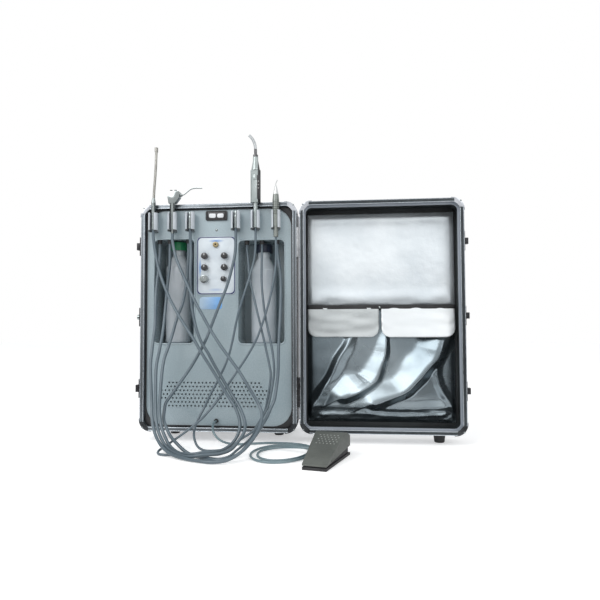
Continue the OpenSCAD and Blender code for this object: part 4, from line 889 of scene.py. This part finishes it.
def pouchPlace(s):
    def place(u, v):
        x = s["x"] + s["width"] * (u - 0.5)
        z = s["pouchLow"] + (s["pouchHigh"] - s["pouchLow"]) * v
        edge = ramped(min(u, 1 - u), 0.0, 0.03) * ramped(v, 0.0, 0.03) * ramped(1 - v, 0.0, 0.02)
        bulge = math.sqrt(max(0.0, math.sin(math.pi * v))) * (1 - v) ** 0.9 * math.sin(math.pi * u) ** 0.4
        depth = 3.0 + s["belly"] * bulge
        lower = ramped(1 - v, 0.0, 0.35)
        bend = 0.012 * wrinkle(u, v, 6.0, s["seed"] + 1)
        for points, left, right, start, height in pouchFolds:
            depth += height * lower * foldAt(u + bend, v - bend, points, left, right, start)
        crumple = ramped(0.16 - v, 0.0, 0.10)
        depth += crumple * (2.8 * wrinkle(u * 2.0, v * 2.4, 6.0, s["seed"] + 3)
                            + 0.9 * wrinkle(u * 1.3, v * 2.2, 18.0, s["seed"] + 5))
        depth += 0.5 * wrinkle(u, v, 9.0, s["seed"] + 9)
        limit = s["underFlap"] + s["pouchRoom"] * ramped(0.80 - v, 0.0, 0.14)
        return (x, s["back"] - 0.6 - edge * max(1.0, min(limit, depth)), z)
    return place


def flapPlace(s, left, right, lean, lift):
    def place(u, v):
        low, corner = s["flapLow"], s["flapCorner"]
        x = left + (right - left) * u
        off = min(x - left, right - x)
        drop = 0.0
        if off < corner:
            drop = corner - math.sqrt(max(0.0, corner ** 2 - (corner - off) ** 2))
        z = low + drop + (s["flapHigh"] - low - drop) * v
        away = 1 - (z - low) / (s["flapHigh"] - low)
        bow = lift * math.sin(math.pi * u) * away
        wave = 0.8 * wrinkle(u, v, 4.0, s["seed"] + left)
        return (x, s["back"] - s["flapOff"] - lean * away - bow - wave, z)
    return place


def makePad(s):
    pad = gridSheet("lidPadSheet", 120, 80, padPlace(s))
    thicken(pad, -1.6)
    finishPiece(pad, "lid", "leather", padFinish, ["lid_pad"])


def makePouch(s):
    pouch = gridSheet("lidPouchSheet", 190, 150, pouchPlace(s))
    thicken(pouch, -0.6)
    finishPiece(pouch, "lid", "leather", pouchShadedFinish, ["lid_pouch"])


def makeFlap(s, name, left, right, lean, lift, finish):
    flap = gridSheet(name, 60, 26, flapPlace(s, left, right, lean, lift))
    thicken(flap, -1.2)
    finishPiece(flap, "lid", "leather", finish)


# painted shadow: a black strip across the lid under the pad's lower edge, for the shadow that edge casts on
# the flaps
def makePadShadowStrip(s):
    strip = gridSheet("padEdgeShadowStrip", 90, 4, lambda u, v: (
        s["x"] + s["width"] * (u - 0.5), s["back"] - 16.2 - 0.5 * math.sin(u * 40), 350 + 11 * v))
    thicken(strip, -1.5)
    finishPiece(strip, "lid", "lining", blackPartsAndShadeFinish)


stitching = {"fromSide": 4.5, "fromEnd": 8, "pitch": 5.2, "off": 5.6, "shape": (0.55, 0.45, 1.7)}


def makeStitches(s, t):
    rows = []
    for x in (s["x"] - s["width"] / 2 + t["fromSide"], s["x"] + s["width"] / 2 - t["fromSide"]):
        z = s["padLow"] + t["fromEnd"]
        while z < s["padHigh"] - t["fromEnd"]:
            bpy.ops.mesh.primitive_uv_sphere_add(segments=8, ring_count=5, radius=1 * mm,
                                                 location=inMetres((x, s["back"] - t["off"], z)))
            stitch = takeName("stitch")
            stitch.scale = t["shape"]
            applyPlace(stitch)
            rows.append(stitch)
            z += t["pitch"]
    finishPiece(joinPieces(rows, "padStitches"), "lid", "lining", blackPartsAndShadeFinish)


liningLeft = lining["x"] - lining["width"] / 2
liningRight = lining["x"] + lining["width"] / 2
makePad(lining)
makePouch(lining)
makeFlap(lining, "leftFlap", liningLeft + 1, lining["x"] - 4, -1.0, 1.5, flapFinish)
makeFlap(lining, "rightFlap", lining["x"] + 2, liningRight - 3, 10.0, 4.0, litRightFlapFinish)
makePadShadowStrip(lining)
makeStitches(lining, stitching)
finishPiece(domeAt("pocketStud", (431, 64.0, 354), 3.4, 2.2), "lid", "steel", steelFinish)
print("lid lined")


# pedal tread dots and scored lines, and the visible spring

pedal = {"x": 276, "y": -262, "turn": -13, "slopeStart": (0, 13), "slopeEnd": (126, 56), "dotRadius": 1.5,
         "dotHeight": 0.6, "dotsFrom": (-20, 82), "dotPitch": (8.4, 8.6), "ribs": ((24, 25), (54, 28)),
         "ribRadius": 0.7, "springAlong": 112, "springFoot": 6, "springKeeps": 0.76}


def onPedal(s, across, along):
    y0, z0 = s["slopeStart"]
    y1, z1 = s["slopeEnd"]
    z = z0 + (z1 - z0) * (along - y0) / (y1 - y0)
    turn = math.radians(s["turn"])
    return (s["x"] + across * math.cos(turn) - along * math.sin(turn),
            s["y"] + across * math.sin(turn) + along * math.cos(turn), z)


def makePedalDots(s):
    dots = []
    slope = math.atan2(s["slopeEnd"][1] - s["slopeStart"][1], s["slopeEnd"][0] - s["slopeStart"][0])
    pitch = s["dotPitch"]
    for row in range(5):
        for column in range(6):
            across = s["dotsFrom"][0] + column * pitch[0] + (row % 2) * pitch[0] / 2
            place = onPedal(s, across, s["dotsFrom"][1] + row * pitch[1])
            bpy.ops.mesh.primitive_uv_sphere_add(segments=10, ring_count=6, radius=s["dotRadius"] * mm,
                                                 location=inMetres(place),
                                                 rotation=(slope, 0, math.radians(s["turn"])))
            dot = takeName("treadDot")
            dot.scale = (1.0, 1.0, s["dotHeight"] / s["dotRadius"])
            applyPlace(dot)
            dots.append(dot)
    finishPiece(joinPieces(dots, "treadDots"), "pedal_tread", "pedal", dotFinish)


def makePedalRibs(s):
    ribs = []
    for along, half in s["ribs"]:
        bpy.ops.mesh.primitive_cylinder_add(vertices=12, radius=s["ribRadius"] * mm, depth=2 * half * mm,
                                            location=inMetres(onPedal(s, 0, along)),
                                            rotation=(0, math.pi / 2, math.radians(s["turn"])))
        rib = takeName("treadRib")
        applyPlace(rib)
        bevelEdges(rib, 0.3, 2)
        smoothByAngle(rib, 50)
        ribs.append(rib)
    finishPiece(joinPieces(ribs, "treadRibs"), "pedal_tread", "pedal", pedalFinish)


def makePedalSpring(s):
    coil = roundedCopy("pedal_spring", 0)
    finishPiece(coil, frame["nodes"]["pedal_spring"]["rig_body"], slotOf["pedal_spring"], steelFinish,
                ["pedal_spring"])
    x, y, z = onPedal(s, 0, s["springAlong"])
    inMetres((x, y, s["springFoot"]))
    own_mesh(coil)


makePedalDots(pedal)
makePedalRibs(pedal)
makePedalSpring(pedal)
print("pedal detailed")


# floor, lamps, dark cards for the metal to show, and world; lengths here are in metres

studio = {"floorSize": 16.0, "floorGlow": 0.42, "skyLight": 0.62, "keyPower": 46.0, "fillPower": 16.0}


def plainSight(tree):
    rays = tree.nodes.new("ShaderNodeLightPath").outputs
    seen = mathOf(tree, "MAXIMUM", rays["Is Camera Ray"], rays["Is Glossy Ray"])
    return mathOf(tree, "MAXIMUM", seen, rays["Is Transmission Ray"])


def makeFloor(s):
    bpy.ops.mesh.primitive_plane_add(size=s["floorSize"], location=(0.2, 0, -0.0005))
    floor = takeName("studioFloor")
    material, tree, place = newFinish("whiteFloor")
    tone = rampBetween(tree, noiseAt(tree, place, 2.0, 2.0), (0.9, 0.9, 0.9), (0.93, 0.93, 0.93))
    shader = setShader(tree, {"Base Color": tone, "Roughness": 0.9, "Specular IOR Level": 0.1})
    strength = mathOf(tree, "MULTIPLY", plainSight(tree), s["floorGlow"])
    glow = addNode(tree, "ShaderNodeEmission", {"Color": (1, 1, 1, 1), "Strength": strength})
    both = tree.nodes.new("ShaderNodeAddShader")
    feed(tree, both.inputs[0], shader.outputs[0])
    feed(tree, both.inputs[1], glow.outputs[0])
    feed(tree, tree.nodes["Material Output"].inputs["Surface"], both.outputs[0])
    floor.data.materials.append(material)


def turnTo(piece, place, aim, face):
    piece.location = place
    piece.rotation_euler = (Vector(aim) - Vector(place)).to_track_quat(face, "Y").to_euler()


def makeLamp(name, place, aim, size, power):
    data = bpy.data.lights.new(name, "AREA")
    data.shape = "RECTANGLE"
    data.size, data.size_y = size
    data.energy = power
    turnTo(addObject(name, data), place, aim, "-Z")


def makeCard(name, place, aim, size, tone):
    bpy.ops.mesh.primitive_plane_add(size=1.0)
    card = takeName(name)
    card.scale = (*size, 1)
    turnTo(card, place, aim, "Z")
    material, tree, texture = newFinish(name + "Cloth")
    cloth = rampBetween(tree, noiseAt(tree, texture, 8.0, 2.0), (tone, tone, tone),
                        (tone * 1.2, tone * 1.2, tone * 1.25))
    setShader(tree, {"Base Color": cloth, "Roughness": 1.0, "Specular IOR Level": 0.0})
    card.data.materials.append(material)
    card.visible_camera = False
    card.visible_diffuse = False
    card.visible_shadow = False
    card.visible_transmission = False


def makeWorld(s):
    world = bpy.data.worlds.new("studioSky")
    bpy.context.scene.world = world
    world.use_nodes = True
    tree = world.node_tree
    light = tree.nodes["Background"]
    light.inputs["Color"].default_value = (0.97, 0.985, 1.0, 1)
    light.inputs["Strength"].default_value = s["skyLight"]
    white = addNode(tree, "ShaderNodeBackground", {"Color": (1, 1, 1, 1), "Strength": 1.0})
    mix = addNode(tree, "ShaderNodeMixShader", {"Fac": plainSight(tree)})
    feed(tree, mix.inputs[1], light.outputs[0])
    feed(tree, mix.inputs[2], white.outputs[0])
    feed(tree, tree.nodes["World Output"].inputs["Surface"], mix.outputs[0])


makeFloor(studio)
makeWorld(studio)
makeLamp("keyLamp", (-1.3, -1.9, 2.1), (0.15, 0.0, 0.3), (2.2, 2.0), studio["keyPower"])
makeLamp("fillLamp", (1.9, -1.8, 1.2), (0.2, 0.0, 0.3), (1.8, 1.8), studio["fillPower"])
makeCard("darkCardRight", (2.3, -1.3, 0.5), (0.4, 0, 0.3), (2.2, 2.6), 0.03)
makeCard("darkCardLeft", (-2.0, -0.5, 0.5), (0.0, 0, 0.3), (1.2, 2.4), 0.04)
makeCard("darkCardLow", (0.4, -2.0, 0.004), (0.4, -2.0, 3.0), (5.0, 3.0), 0.04)
print("studio set")
